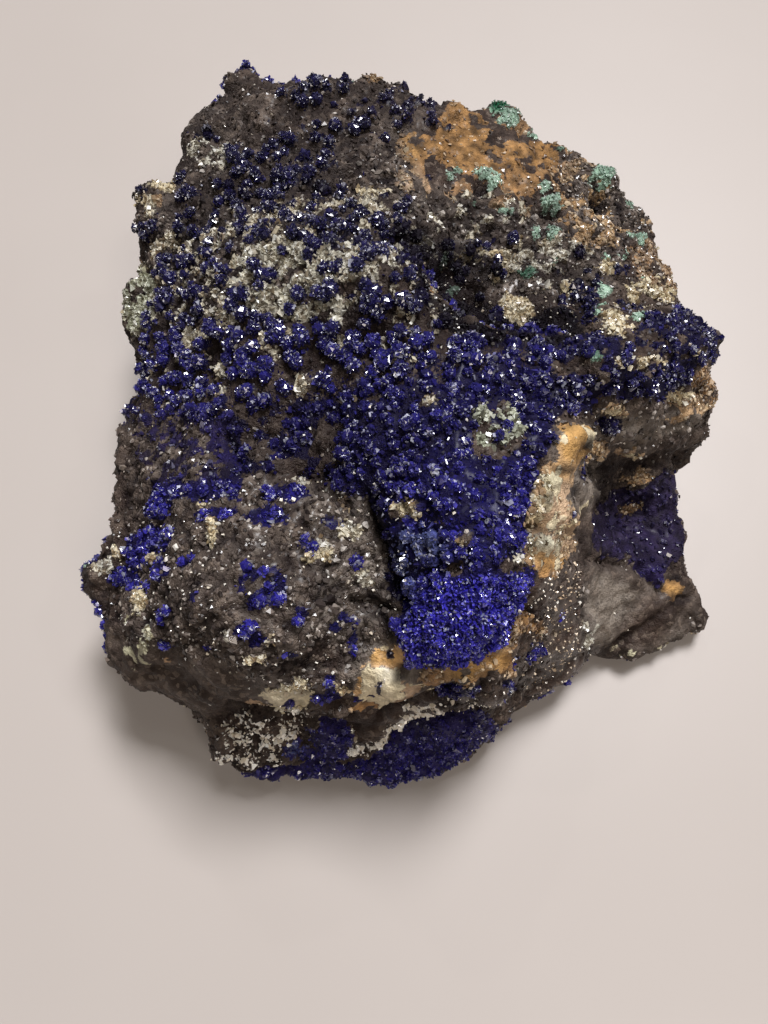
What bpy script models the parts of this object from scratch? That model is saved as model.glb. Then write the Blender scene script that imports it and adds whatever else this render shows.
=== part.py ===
# Azurite specimen: one broken piece of mineralised rock, about 92 x 107 x 46 mm.
# The rock grew and broke as one piece, so it is a single closed solid.
# Its outline is widest at the rim; the walls go in below the rim to a flat foot.
# Frame: metres, +Z up, origin at the centre of the bounding box, on the resting face.

import bmesh
import bpy
import numpy as np
from mathutils import Vector, noise

MM = 0.001

# Overall size of the stone, in millimetres.
WIDTH = 92.0
DEPTH = 107.0
HEIGHT = 46.0

# The body: how the closed shell is built and evened out.
RIM_STEPS = 180
TOP_RINGS = 26
WALL_ROWS = 12
UNDERCUT_POWER = 1.6
BELOW_FOOT = 2.5
VOXEL = 1.0
SMOOTH_PASSES = 1
TRIANGLES = 8500

# Rocky relief: height and spacing of each kind, in millimetres.
LUMP_HEIGHT = 1.0
LUMP_SPACING = 15.0
CHIP_HEIGHT = 1.0
CHIP_SPACING = 11.0
CHIP_MIDDLE = 0.5
GRAIN_HEIGHT = 0.55
GRAIN_SPACING = 4.5
GRAIN_FALLOFF = 0.9
GRAIN_OCTAVES = 3
WALL_RELIEF = 1.6
SEAT_SNAP = 0.35

# The rim, clockwise from above, starting at the back left knob:
# x, y, height, and how far the foot sits inside the rim below it.
RIM = [
    (-31, 52, 30, 9), (-28, 56, 33, 10), (-22, 53, 33, 10), (-13, 51, 34, 11),
    (-8, 52, 34, 12), (-3, 51, 34, 11), (0, 49, 33, 10), (7, 50, 31, 10),
    (13, 53, 29, 12), (21, 48, 27, 9), (27, 46, 25, 10), (32, 44, 24, 9),
    (36, 40, 22, 8), (40, 38, 20, 8), (40, 32, 19, 7), (41, 24, 19, 6),
    (40, 14, 25, 6), (44, 9, 26, 8), (43, 5, 24, 8), (44, 1, 18, 7),
    (44, -3, 15, 6), (40, -6, 11, 4), (41, -15, 9, 3), (42, -21, 8, 4),
    (46, -28, 5, 5), (41, -31, 4, 3), (34, -34, 4, 2), (27, -33, 5, 2),
    (24, -35, 6, 2), (19, -39, 9, 4), (15, -40, 7, 4), (9, -46, 5, 3),
    (6, -49, 4, 3), (2, -51, 3, 3), (-3, -52, 3, 3), (-10, -52, 4, 3),
    (-15, -52, 4, 3), (-21, -52, 4, 4), (-25, -50, 7, 4), (-28, -47, 10, 5),
    (-30, -43, 13, 6), (-35, -41, 15, 8), (-40, -40, 17, 9), (-43, -35, 19, 10),
    (-43, -31, 20, 10), (-47, -27, 20, 12), (-41, -22, 22, 8), (-41, -16, 23, 7),
    (-43, -10, 24, 7), (-44, -6, 24, 8), (-42, -1, 24, 7), (-38, 4, 25, 6),
    (-42, 9, 24, 7), (-47, 15, 22, 9), (-45, 21, 23, 8), (-43, 27, 25, 8),
    (-43, 34, 28, 9), (-38, 35, 29, 7), (-37, 40, 29, 7), (-36, 49, 30, 9),
]

# Heights of the upper side away from the rim, region by region: x, y, z.
CREST = [(-26, 7, 38), (-21, 10, 41), (-16, 11, 43), (-10, 10, 45), (-5, 7, 46),
         (-2, 3, 46), (1, -3, 45), (5, -6, 44), (11, -6, 43), (17, -5, 42),
         (23, -3, 41), (29, 0, 38), (37, 5, 32)]
NEAR_CREST = [(-15, -1, 40), (-8, -3, 43), (-3, -11, 45), (5, -13, 44), (13, -12, 42),
              (22, -8, 39), (30, -4, 36), (-22, -6, 37), (-30, 0, 32), (-36, 8, 28)]
BACK_HOLLOW = [(1, 15, 34), (4, 10, 31), (10, 9, 28), (16, 8, 28), (20, 7, 31),
               (25, 7, 33), (32, 13, 28), (7, 23, 32), (17, 22, 30), (26, 23, 27),
               (34, 29, 23)]
BACK_SLOPE = [(3, 36, 34), (13, 36, 31), (23, 35, 27), (30, 36, 24), (-3, 24, 38),
              (2, 43, 34), (-10, 22, 40), (-17, 24, 38), (-24, 27, 35), (-31, 32, 32),
              (-13, 36, 37), (-21, 41, 35), (-27, 43, 33), (-35, 25, 31), (-34, 16, 31)]
LEFT_PLAIN = [(-35, -4, 29), (-29, -9, 33), (-22, -11, 36), (-36, -13, 29),
              (-28, -18, 35), (-21, -17, 36), (-14, -16, 36), (-8, -16, 41)]
SLAB = [(-3, -17, 44), (-1, -23, 45), (4, -23, 45), (9, -19, 44), (13, -15, 43),
        (0, -29, 43), (5, -32, 44), (8, -28, 44), (0, -35, 40), (5, -37, 40),
        (0, -40, 37), (5, -41, 36), (-4, -22, 41)]
STEP_FOOT = [(18, -17, 38), (16, -22, 37), (14, -29, 36), (14, -33, 32), (12, -37, 28),
             (9, -42, 24), (23, -13, 26), (22, -20, 24), (21, -26, 22), (21, -32, 17),
             (18, -36, 14)]
LEDGE = [(25, -9, 34), (31, -6, 32), (37, -1, 29), (31, -9, 24), (37, -5, 20)]
WING = [(29, -12, 14), (34, -11, 13), (38, -12, 11), (30, -19, 14), (34, -21, 12),
        (39, -21, 10), (26, -28, 13), (31, -28, 10), (36, -27, 9), (41, -27, 6),
        (27, -32, 7), (34, -32, 5)]
VALLEY = [(-7, -24, 38), (-6, -28, 36), (-6, -32, 34), (-6, -37, 32)]
LOBE = [(-15, -22, 37), (-10, -25, 37), (-20, -26, 37), (-27, -27, 35), (-34, -24, 29),
        (-37, -31, 26), (-30, -33, 33), (-22, -33, 38), (-15, -32, 38), (-10, -32, 36),
        (-26, -38, 33), (-19, -38, 35), (-12, -38, 33), (-8, -40, 30), (-34, -37, 25),
        (-26, -41, 27), (-19, -43, 27), (-11, -43, 27)]
APRON = [(-4, -42, 26), (2, -43, 26), (-25, -44, 18), (-18, -45, 19), (-11, -45, 21),
         (-3, -45, 20), (6, -45, 15), (-22, -48, 12), (-14, -48, 12), (-6, -48, 12),
         (1, -47, 11), (11, -42, 12)]
TOP_SPOTS = (CREST + NEAR_CREST + BACK_HOLLOW + BACK_SLOPE + LEFT_PLAIN + SLAB
             + STEP_FOOT + LEDGE + WING + VALLEY + LOBE + APRON)


def clear_scene():
    for item in list(bpy.data.objects):
        bpy.data.objects.remove(item, do_unlink=True)


def thin_plate(spots):
    """Return a function of (x, y) whose smooth sheet passes through the spots."""
    places = spots[:, :2]
    count = len(places)

    def kernel(a, b):
        squared = ((a[:, None, :] - b[None, :, :]) ** 2).sum(axis=2)
        return 0.5 * squared * np.log(squared + 1e-9)

    flat = np.column_stack([np.ones(count), places])
    system = np.zeros((count + 3, count + 3))
    system[:count, :count] = kernel(places, places)
    system[:count, count:] = flat
    system[count:, :count] = flat.T
    weights = np.linalg.solve(system, np.concatenate([spots[:, 2], np.zeros(3)]))

    def height(points):
        base = weights[count] + points @ weights[count + 1:]
        return kernel(points, places) @ weights[:count] + base

    return height


def even_rim():
    """Walk the rim as a closed polyline and return evenly spaced rows of it."""
    rim = np.array(RIM, dtype=float)
    closed = np.vstack([rim, rim[:1]])
    legs = np.linalg.norm(np.diff(closed[:, :3], axis=0), axis=1)
    walked = np.concatenate([[0.0], np.cumsum(legs)])
    stops = np.linspace(0.0, walked[-1], RIM_STEPS, endpoint=False)
    return np.column_stack([np.interp(stops, walked, closed[:, k]) for k in range(4)])


def stone_shell():
    """Build the closed shell: rings over the top, rows down the wall, a disc below."""
    rim = even_rim()
    height = thin_plate(np.array(TOP_SPOTS + [row[:3] for row in RIM[::2]], dtype=float))
    outward = rim[:, :2] / np.linalg.norm(rim[:, :2], axis=1)[:, None]
    rows = []
    for ring in range(1, TOP_RINGS):
        place = rim[:, :2] * ring / TOP_RINGS
        rows.append(np.column_stack([place, height(place)]))
    for row in range(WALL_ROWS + 1):
        fall = row / WALL_ROWS
        inset = rim[:, 3] * fall ** UNDERCUT_POWER
        place = rim[:, :2] - outward * inset[:, None]
        level = rim[:, 2] * (1.0 - fall) - BELOW_FOOT * fall
        rows.append(np.column_stack([place, level]))

    shell = bmesh.new()
    middle = Vector((0.0, 0.0, float(height(np.zeros((1, 2)))[0])))
    loops = [[shell.verts.new(point) for point in row] for row in rows]
    top = shell.verts.new(middle)
    bottom = shell.verts.new((0.0, 0.0, -BELOW_FOOT))
    for k in range(RIM_STEPS):
        after = (k + 1) % RIM_STEPS
        shell.faces.new((top, loops[0][k], loops[0][after]))
        shell.faces.new((bottom, loops[-1][after], loops[-1][k]))
        for upper, lower in zip(loops, loops[1:]):
            shell.faces.new((upper[k], lower[k], lower[after], upper[after]))
    bmesh.ops.recalc_face_normals(shell, faces=shell.faces)
    return shell


def evaluated(thing):
    """Return the mesh that the object's modifiers give."""
    graph = bpy.context.evaluated_depsgraph_get()
    return bpy.data.meshes.new_from_object(thing.evaluated_get(graph))


def replace_mesh(thing, mesh):
    """Give the object a new mesh and drop the modifiers that made it."""
    thing.modifiers.clear()
    thing.data = mesh


def relief(place, normal):
    """Height of the rock's own relief at a place: soft lumps, flat chips, fine grain."""
    lump = noise.noise(place / LUMP_SPACING)
    nearest, second = noise.voronoi(place / CHIP_SPACING)[0][:2]
    chip = min(second - nearest, 1.0) - CHIP_MIDDLE
    grain = noise.fractal(place / GRAIN_SPACING, GRAIN_FALLOFF, 2.0, GRAIN_OCTAVES)
    steepness = 1.0 - max(normal.z, 0.0)
    strength = 1.0 + (WALL_RELIEF - 1.0) * steepness
    return strength * (LUMP_HEIGHT * lump + CHIP_HEIGHT * chip + GRAIN_HEIGHT * grain)


def roughen(mesh):
    """Move each point along its normal by the relief."""
    body = bmesh.new()
    body.from_mesh(mesh)
    body.normal_update()
    moves = [vert.normal * relief(vert.co, vert.normal) for vert in body.verts]
    for vert, move in zip(body.verts, moves):
        vert.co += move
    body.to_mesh(mesh)
    body.free()


def cut_seat(mesh):
    """Cut the stone flat at height zero and close the cut with the resting face."""
    body = bmesh.new()
    body.from_mesh(mesh)
    for vert in body.verts:
        if abs(vert.co.z) < SEAT_SNAP:
            vert.co.z = 0.0
    parts = body.verts[:] + body.edges[:] + body.faces[:]
    bmesh.ops.bisect_plane(body, geom=parts, dist=1e-5, plane_co=(0, 0, 0),
                           plane_no=(0, 0, -1), clear_outer=True)
    rims = [edge for edge in body.edges if edge.is_boundary]
    bmesh.ops.holes_fill(body, edges=rims, sides=0)
    bmesh.ops.triangulate(body, faces=body.faces[:])
    bmesh.ops.recalc_face_normals(body, faces=body.faces)
    body.to_mesh(mesh)
    body.free()


def fit_size(mesh):
    """Centre the stone over the origin and bring it to its overall size in metres."""
    body = bmesh.new()
    body.from_mesh(mesh)
    points = np.array([vert.co for vert in body.verts])
    low = points.min(axis=0)
    high = points.max(axis=0)
    middle = (low + high) / 2.0
    middle[2] = 0.0
    scale = np.array([WIDTH, DEPTH, HEIGHT]) / (high - low) * MM
    for vert in body.verts:
        vert.co = Vector((np.array(vert.co) - middle) * scale)
    body.to_mesh(mesh)
    body.free()


def stone_material():
    """Dark navy mineral over brown-grey rock, taken as one rough slate blue."""
    finish = bpy.data.materials.new("azurite_rock")
    finish.use_nodes = True
    shader = finish.node_tree.nodes["Principled BSDF"]
    shader.inputs["Base Color"].default_value = (0.035, 0.035, 0.11, 1.0)
    shader.inputs["Roughness"].default_value = 0.55
    shader.inputs["Metallic"].default_value = 0.0
    return finish


def make_stone():
    mesh = bpy.data.meshes.new("azurite_on_matrix")
    shell = stone_shell()
    shell.to_mesh(mesh)
    shell.free()
    stone = bpy.data.objects.new("azurite_on_matrix", mesh)
    bpy.context.collection.objects.link(stone)

    even = stone.modifiers.new("even", "REMESH")
    even.mode = "VOXEL"
    even.voxel_size = VOXEL
    soften = stone.modifiers.new("soften", "SMOOTH")
    soften.iterations = SMOOTH_PASSES
    replace_mesh(stone, evaluated(stone))

    roughen(stone.data)
    thin = stone.modifiers.new("thin", "DECIMATE")
    thin.ratio = TRIANGLES / (2.0 * len(stone.data.polygons))
    replace_mesh(stone, evaluated(stone))

    cut_seat(stone.data)
    fit_size(stone.data)
    stone.data.name = "azurite_on_matrix"
    stone.data.materials.append(stone_material())
    return stone


clear_scene()
make_stone()
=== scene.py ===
import math

import bmesh
import bpy
import numpy as np
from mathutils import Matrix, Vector


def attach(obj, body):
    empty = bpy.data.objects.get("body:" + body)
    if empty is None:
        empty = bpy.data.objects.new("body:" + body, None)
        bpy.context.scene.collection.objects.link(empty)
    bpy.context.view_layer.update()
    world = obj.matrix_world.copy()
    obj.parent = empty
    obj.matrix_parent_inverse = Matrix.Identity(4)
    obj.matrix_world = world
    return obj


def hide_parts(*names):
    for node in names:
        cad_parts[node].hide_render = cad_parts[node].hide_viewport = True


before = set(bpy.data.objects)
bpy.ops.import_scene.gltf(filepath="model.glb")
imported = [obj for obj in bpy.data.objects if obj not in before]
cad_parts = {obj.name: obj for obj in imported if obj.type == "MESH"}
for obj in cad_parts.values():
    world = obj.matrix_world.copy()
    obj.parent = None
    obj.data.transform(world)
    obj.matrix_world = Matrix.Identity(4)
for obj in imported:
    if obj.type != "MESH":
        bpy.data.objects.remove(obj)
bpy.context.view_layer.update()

mm = 0.001

# where the stone is seen from: the patches below are placed in this view
view = {
    "place": (-0.0046, -0.0584, 0.120),
    "elevation": 68.0,      # degrees above the table
    "lens": 27.0,
    "film": 36.0,           # long side
    "wide": 768.0,
    "high": 1024.0,
}


def viewAxes():
    # right, up and forward of a view that leans down from the +Y direction
    lean = math.radians(view["elevation"])
    forward = np.array([0.0, math.cos(lean), -math.sin(lean)])
    up = np.array([0.0, math.sin(lean), math.cos(lean)])
    return np.array([1.0, 0.0, 0.0]), up, forward


def spotOf(points):
    # across and down in the view: offset over depth times the focal length
    right, up, forward = viewAxes()
    ray = points - np.array(view["place"])
    depth = ray @ forward
    focal = view["lens"] / view["film"] * view["high"]
    across = view["wide"] / 2 + focal * (ray @ right) / depth
    down = view["high"] / 2 - focal * (ray @ up) / depth
    return np.stack([across, down], axis=1)


# noise worked out over whole arrays
def hashOf(cell, salt):
    # mixes a cube's three whole numbers into one number from 0 to 1
    mixed = (cell[..., 0] * 73856093) ^ (cell[..., 1] * 19349663) ^ (cell[..., 2] * 83492791)
    mixed = (mixed ^ (salt * 668265263)) & 0xffffffff
    mixed = ((mixed ^ (mixed >> 15)) * 2246822519) & 0xffffffff
    mixed = ((mixed ^ (mixed >> 13)) * 3266489917) & 0xffffffff
    mixed = mixed ^ (mixed >> 16)
    return (mixed & 0xffffff) / float(0xffffff)


def softNoise(points, size, salt=0):
    # numbers at the corners of a lattice, blended with a smooth step, from -1 to 1
    scaled = points / size
    low = np.floor(scaled).astype(np.int64)
    part = scaled - low
    part = part * part * (3.0 - 2.0 * part)
    total = np.zeros(len(points))
    for corner in range(8):
        step = np.array([corner & 1, (corner >> 1) & 1, (corner >> 2) & 1])
        share = np.where(step == 1, part, 1.0 - part).prod(axis=1)
        total += share * hashOf(low + step, salt)
    return total * 2.0 - 1.0


def layeredNoise(points, size, layers, salt):
    # the soft noise summed at halving sizes and heights
    total = np.zeros(len(points))
    for layer in range(layers):
        total += 0.5 ** layer * softNoise(points + 0.37 * layer * size, size / 2 ** layer, salt + layer)
    return total / 1.6


def scattered(points, size, salt):
    # one point hides in each cube of the lattice: the gap to the nearest, its number and its place
    scaled = points / size
    low = np.floor(scaled).astype(np.int64)
    nearest = np.full(len(points), 9.0)
    number = np.zeros(len(points))
    centre = np.zeros_like(points)
    for step in np.ndindex(3, 3, 3):
        cell = low + np.array(step) - 1
        place = cell + np.stack([hashOf(cell, salt + k) for k in (1, 2, 3)], axis=1)
        gap = np.linalg.norm(scaled - place, axis=1)
        closer = gap < nearest
        nearest = np.where(closer, gap, nearest)
        number = np.where(closer, hashOf(cell, salt + 4), number)
        centre[closer] = place[closer] * size
    return nearest * size, number, centre


def smoothStep(value, low, high):
    # 0 up to low, 1 from high, and 3 s^2 - 2 s^3 between them
    share = np.clip((value - low) / (high - low), 0.0, 1.0)
    return share * share * (3.0 - 2.0 * share)


# patches of mineral: each is an oval (across, down, half width, half height)
# or a closed outline of (across, down) corners
def ovalReach(spots, across, down, wide, high):
    # how far out from an oval's middle, 1 at its edge
    return np.hypot((spots[:, 0] - across) / wide, (spots[:, 1] - down) / high)


def ovalGap(spots, oval):
    # gap to an oval's edge, below zero inside
    return (ovalReach(spots, *oval) - 1.0) * min(oval[2:])


def runGap(spots, start, end):
    # gap to a straight run from start to end
    side = end - start
    toSpot = spots - start
    share = np.clip(toSpot @ side / (side @ side), 0.0, 1.0)
    return np.hypot(*(toSpot - share[:, None] * side).T)


def lineGap(spots, line):
    # gap to an open line of straight runs
    corners = np.array(line, dtype=float)
    return np.min([runGap(spots, start, end) for start, end in zip(corners[:-1], corners[1:])], axis=0)


def outlineGap(spots, outline):
    # gap to the nearest side of a closed outline, below zero inside, where a level ray crosses
    # the sides an odd number of times
    corners = np.array(outline, dtype=float)
    gap = np.full(len(spots), 1e9)
    inside = np.zeros(len(spots), dtype=bool)
    for start, end in zip(corners, np.roll(corners, -1, axis=0)):
        gap = np.minimum(gap, runGap(spots, start, end))
        side = end - start
        crosses = (start[1] > spots[:, 1]) != (end[1] > spots[:, 1])
        level = np.where(crosses, (spots[:, 1] - start[1]) / (side[1] if side[1] else 1.0), 0.0)
        inside ^= crosses & (spots[:, 0] < start[0] + level * side[0])
    return np.where(inside, -gap, gap)


# places that more than one list names
wholeView = [(60, 60), (760, 60), (760, 900), (60, 900)]
chalkFoot = [
    (372, 643), (378, 642), (384, 650), (396, 643), (404, 642), (410, 648), (407, 660), (401, 666),
    (412, 680), (409, 693), (394, 703), (383, 711), (374, 708), (363, 711), (344, 712), (353, 702),
    (353, 690), (360, 676), (364, 667), (372, 660),
]
notchStreak = [(617, 508), (640, 499), (644, 504), (622, 516)]
valleyFloor = [(240, 418), (350, 418), (345, 478), (240, 474)]
creamBoss = (511, 313, 19, 14)
notchBead = (638, 479, 15, 6)
ledgeBead = (632, 453, 11, 5)
ledgeKnob = (614, 408, 8, 7)

# each mineral is laid on in turn: (how much, patch), a later patch over an earlier one
azuriteLaid = [
    (0.26, [(150, 200), (180, 170), (200, 120), (240, 90), (300, 85), (430, 100), (450, 130), (420, 200),
         (400, 250), (300, 250), (200, 262), (150, 260)]),
    (0.05, [(205, 105), (255, 95), (300, 110), (300, 138), (250, 142), (225, 160), (190, 180), (180, 170)]),
    (0.75, [(228, 150), (245, 142), (300, 142), (335, 152), (342, 200), (300, 206), (252, 204),
         (230, 190)]),
    (0.6, (395, 108, 40, 16)), (0.9, (310, 101, 19, 11)), (0.85, (345, 88, 9, 8)), (0.8, (352, 132, 20, 9)),
    (0.9, (203, 136, 13, 7)), (0.55, (418, 126, 12, 10)), (0.1, (378, 172, 30, 24)),
    (0.8, (212, 186, 15, 7)), (0.85, (189, 197, 8, 9)), (0.8, (155, 230, 12, 12)),
    (0.72, [(232, 195), (265, 190), (300, 222), (305, 250), (262, 262), (236, 252)]),
    (0.5, [(178, 215), (232, 205), (236, 252), (200, 262), (178, 250)]),
    (0.92, [(296, 218), (340, 214), (402, 222), (425, 232), (400, 250), (340, 248), (300, 244)]),
    (0.74, [(158, 262), (185, 252), (215, 256), (262, 285), (262, 330), (215, 345), (150, 340),
         (160, 300)]),
    (0.58, [(236, 244), (335, 244), (400, 250), (395, 300), (335, 330), (250, 322), (232, 290)]),
    (0.84, [(322, 250), (345, 250), (395, 250), (425, 262), (440, 300), (460, 345), (330, 335),
         (324, 290)]),
    (0.15, (205, 282, 9, 9)), (0.15, (215, 298, 8, 6)), (0.1, (350, 285, 9, 12)), (0.1, (388, 292, 10, 8)),
    (0.7, [(400, 244), (500, 240), (505, 280), (470, 292), (445, 300), (425, 262)]),
    (0.8, [(440, 296), (505, 320), (575, 318), (560, 346), (500, 348), (462, 338)]), (0.0, creamBoss),
    (0.93, [(148, 335), (205, 322), (262, 316), (330, 326), (440, 318), (500, 350), (560, 347), (600, 336),
         (640, 326), (665, 312), (690, 312), (714, 330), (712, 358), (690, 366), (682, 388), (655, 398),
         (620, 398), (596, 392), (592, 415), (562, 412), (552, 430), (545, 450), (535, 465), (530, 480),
         (525, 500), (525, 560), (536, 575), (520, 600), (503, 636), (492, 651), (470, 656), (450, 661),
         (420, 667), (405, 660), (400, 620), (390, 590), (385, 550), (368, 500), (345, 495), (330, 480),
         (300, 472), (245, 475), (240, 500), (150, 502), (150, 470), (136, 430), (122, 420), (126, 400),
         (138, 385), (145, 360)]),
    (0.74, [(165, 322), (262, 306), (330, 316), (352, 338), (300, 356), (250, 340), (200, 354),
         (168, 345)]),
    (0.38, [(240, 420), (262, 408), (300, 418), (335, 418), (352, 440), (345, 466), (330, 478), (300, 474),
         (262, 470), (240, 450)]),
    (0.62, [(225, 400), (300, 395), (320, 410), (262, 408), (235, 425)]),
    (0.55, [(130, 425), (180, 420), (232, 430), (228, 478), (150, 480)]), (0.55, (600, 370, 44, 16)),
    (0.5, (655, 345, 44, 16)), (0.98, (450, 625, 52, 40)), (0.98, (500, 590, 24, 26)),
    (0.5, (498, 432, 26, 28)), (0.2, (480, 445, 10, 12)), (0.05, (410, 512, 15, 11)),
    (0.0, (467, 539, 9, 6)), (0.1, (515, 566, 12, 8)), (0.0, (302, 388, 8, 12)), (0.0, (228, 371, 10, 6)),
    (0.0, (330, 375, 15, 4)), (0.0, (398, 360, 8, 5)), (0.1, (428, 402, 8, 7)), (0.1, (455, 568, 11, 6)),
    (0.0, (645, 361, 15, 4)), (0.0, (598, 361, 10, 4)), (0.15, (375, 402, 9, 5)), (0.2, (345, 345, 6, 8)),
    (0.2, (395, 285, 11, 9)), (0.5, [(425, 262), (470, 262), (480, 300), (440, 318), (425, 300)]),
    (0.6, [(555, 270), (600, 262), (600, 312), (560, 316)]),
    (0.88, [(425, 318), (470, 318), (520, 338), (600, 332), (600, 356), (425, 352)]),
    (0.85, (580, 256, 8, 7)), (0.8, (628, 306, 12, 7)), (0.8, (590, 312, 8, 12)), (0.5, (560, 320, 20, 9)),
    (0.5, (620, 270, 10, 6)), (0.6, (515, 240, 8, 6)), (0.95, (158, 508, 12, 12)),
    (0.95, (150, 540, 20, 14)), (0.95, (140, 555, 13, 12)), (0.9, (125, 575, 15, 9)),
    (0.9, (165, 570, 12, 8)), (0.8, (140, 586, 14, 5)), (0.85, (165, 610, 8, 8)), (0.7, (170, 645, 6, 4)),
    (0.85, (210, 648, 5, 5)), (0.85, (250, 578, 9, 10)), (0.9, (276, 592, 11, 17)),
    (0.8, (258, 602, 10, 8)), (0.6, (262, 574, 12, 5)), (0.3, (262, 587, 5, 6)), (0.6, (246, 590, 7, 9)),
    (0.92, (250, 632, 14, 11)), (0.45, (200, 596, 8, 5)), (0.4, (320, 590, 6, 5)), (0.4, (190, 560, 6, 5)),
    (0.35, (225, 560, 7, 5)), (0.5, (300, 612, 6, 5)), (0.4, (235, 650, 8, 5)), (0.45, (290, 655, 8, 5)),
    (0.9, (303, 542, 8, 9)), (0.8, (330, 521, 11, 8)), (0.8, (268, 517, 20, 10)), (0.6, (215, 513, 22, 6)),
    (0.9, (355, 563, 5, 4)), (0.95, (345, 618, 10, 5)), (0.95, (355, 640, 5, 16)), (0.9, (333, 626, 6, 5)),
    (0.85, (290, 492, 22, 9)), (0.85, (225, 446, 12, 10)), (0.0, (203, 505, 8, 4)), (0.3, (300, 570, 5, 8)),
    (0.0, chalkFoot), (0.0, [(240, 680), (300, 682), (312, 692), (305, 708), (262, 704)]),
    (0.95, (325, 697, 12, 5)), (0.95, (331, 686, 5, 9)), (0.9, (290, 702, 5, 5)), (0.98, (390, 651, 4, 4)),
    (0.98, (383, 681, 3, 5)), (0.98, (372, 694, 6, 3)), (0.98, (355, 696, 4, 4)),
    (0.9, [(245, 765), (300, 760), (305, 746), (330, 752), (345, 766), (380, 750), (395, 727), (430, 722),
         (480, 712), (502, 722), (490, 748), (455, 772), (412, 792), (380, 795), (345, 786), (300, 788),
         (270, 793), (248, 778)]),
    (0.97, (293, 745, 8, 7)), (0.85, [(306, 724), (340, 718), (352, 728), (350, 760), (318, 758)]),
    (0.7, (455, 688, 22, 9)), (0.85, (322, 752, 15, 8)), (0.85, (532, 650, 7, 11)), (0.8, (556, 614, 4, 8)),
    (0.85, (506, 686, 7, 6)),
    (0.93, [(606, 488), (622, 492), (648, 484), (665, 466), (680, 478), (684, 510), (692, 540), (694, 562),
         (680, 556), (666, 568), (657, 590), (642, 576), (628, 562), (606, 558), (594, 545), (590, 520)]),
    (0.55, (600, 420, 18, 7)), (0.0, notchBead), (0.0, notchStreak),
]
limoniteLaid = [
    (0.38, [(392, 140), (430, 128), (450, 108), (470, 98), (500, 100), (560, 130), (610, 160), (640, 205),
         (670, 250), (676, 290), (650, 292), (620, 250), (590, 240), (560, 225), (500, 212), (440, 205),
         (396, 200)]),
    (0.3, [(600, 165), (640, 205), (640, 250), (600, 240), (575, 200)]),
    (0.74, [(400, 138), (430, 132), (448, 112), (468, 102), (486, 106), (492, 134), (530, 150), (556, 152),
         (552, 186), (530, 198), (500, 182), (450, 172), (404, 162)]),
    (0.5, (585, 232, 22, 16)), (0.9, (668, 262, 14, 30)), (0.9, (375, 80, 9, 8)), (0.85, (525, 588, 7, 6)),
    (0.9, (522, 622, 13, 11)), (1.0, (510, 635, 6, 8)),
    (0.8, [(440, 672), (456, 662), (490, 656), (488, 678), (464, 683)]), (1.0, (504, 665, 8, 11)),
    (1.0, [(490, 655), (500, 640), (508, 650), (504, 668), (492, 668)]), (1.0, chalkFoot),
    (0.9, (673, 589, 9, 9)), (0.7, (160, 207, 6, 5)), (0.9, (700, 376, 14, 11)), (0.8, (300, 392, 6, 6)),
    (0.7, (345, 547, 7, 5)), (0.7, (655, 268, 16, 20)), (0.7, (690, 402, 20, 8)), (0.9, notchBead),
    (0.8, notchStreak), (1.0, ledgeBead), (1.0, ledgeKnob), (0.5, (622, 452, 6, 3)),
    (0.9, [(655, 421), (664, 412), (684, 406), (705, 398), (706, 408), (688, 412), (668, 425)]),
    (0.3, (168, 660, 6, 4)), (0.6, (345, 503, 6, 6)), (0.7, (175, 487, 8, 6)), (0.6, (270, 700, 22, 5)),
    (0.6, (410, 180, 16, 14)),
    (0.9, [(396, 694), (430, 670), (452, 666), (452, 674), (430, 680), (404, 700)]),
    (0.95, [(558, 418), (566, 424), (577, 428), (584, 437), (591, 443), (603, 441), (605, 449), (591, 453),
         (581, 456), (577, 466), (571, 478), (565, 487), (563, 498), (565, 512), (567, 526), (567, 548),
         (560, 563), (552, 576), (543, 582), (534, 573), (526, 560), (521, 549), (522, 538), (527, 518),
         (523, 508), (528, 494), (532, 476), (541, 464), (552, 458), (553, 445), (557, 437)]),
]
orangeLaid = [      # where the limonite is rusty rather than tan
    (0.15, [(380, 90), (720, 90), (720, 720), (330, 720), (330, 600), (500, 400)]),
    (0.8, [(400, 135), (430, 128), (450, 105), (490, 100), (500, 140), (560, 140), (556, 175), (470, 172),
         (404, 165)]),
    (0.55, [(500, 170), (640, 180), (660, 240), (600, 250), (520, 210)]), (0.95, (545, 150, 10, 12)),
    (0.8, (675, 270, 10, 22)), (0.9, (545, 566, 12, 14)), (0.9, (522, 622, 15, 12)),
    (0.9, (504, 660, 16, 14)), (1.0, (468, 668, 20, 10)), (0.8, (384, 653, 26, 14)),
    (0.9, (360, 684, 6, 14)), (0.9, (356, 709, 14, 5)), (0.9, (673, 589, 12, 10)),
    (0.6, (700, 376, 14, 11)), (0.9, (375, 80, 9, 8)), (0.6, (638, 480, 16, 6)),
    (0.85, [(555, 420), (580, 425), (592, 446), (575, 466), (552, 462)]), (0.7, (555, 474, 12, 7)),
    (0.7, (533, 524, 9, 6)), (0.5, (526, 588, 8, 7)), (0.4, (160, 195, 14, 8)), (0.5, (158, 256, 12, 8)),
    (0.4, (676, 412, 24, 8)),
    (0.85, [(556, 555), (574, 560), (576, 650), (560, 690), (530, 700), (524, 670)]),
    (0.4, (614, 406, 10, 7)),
]
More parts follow.
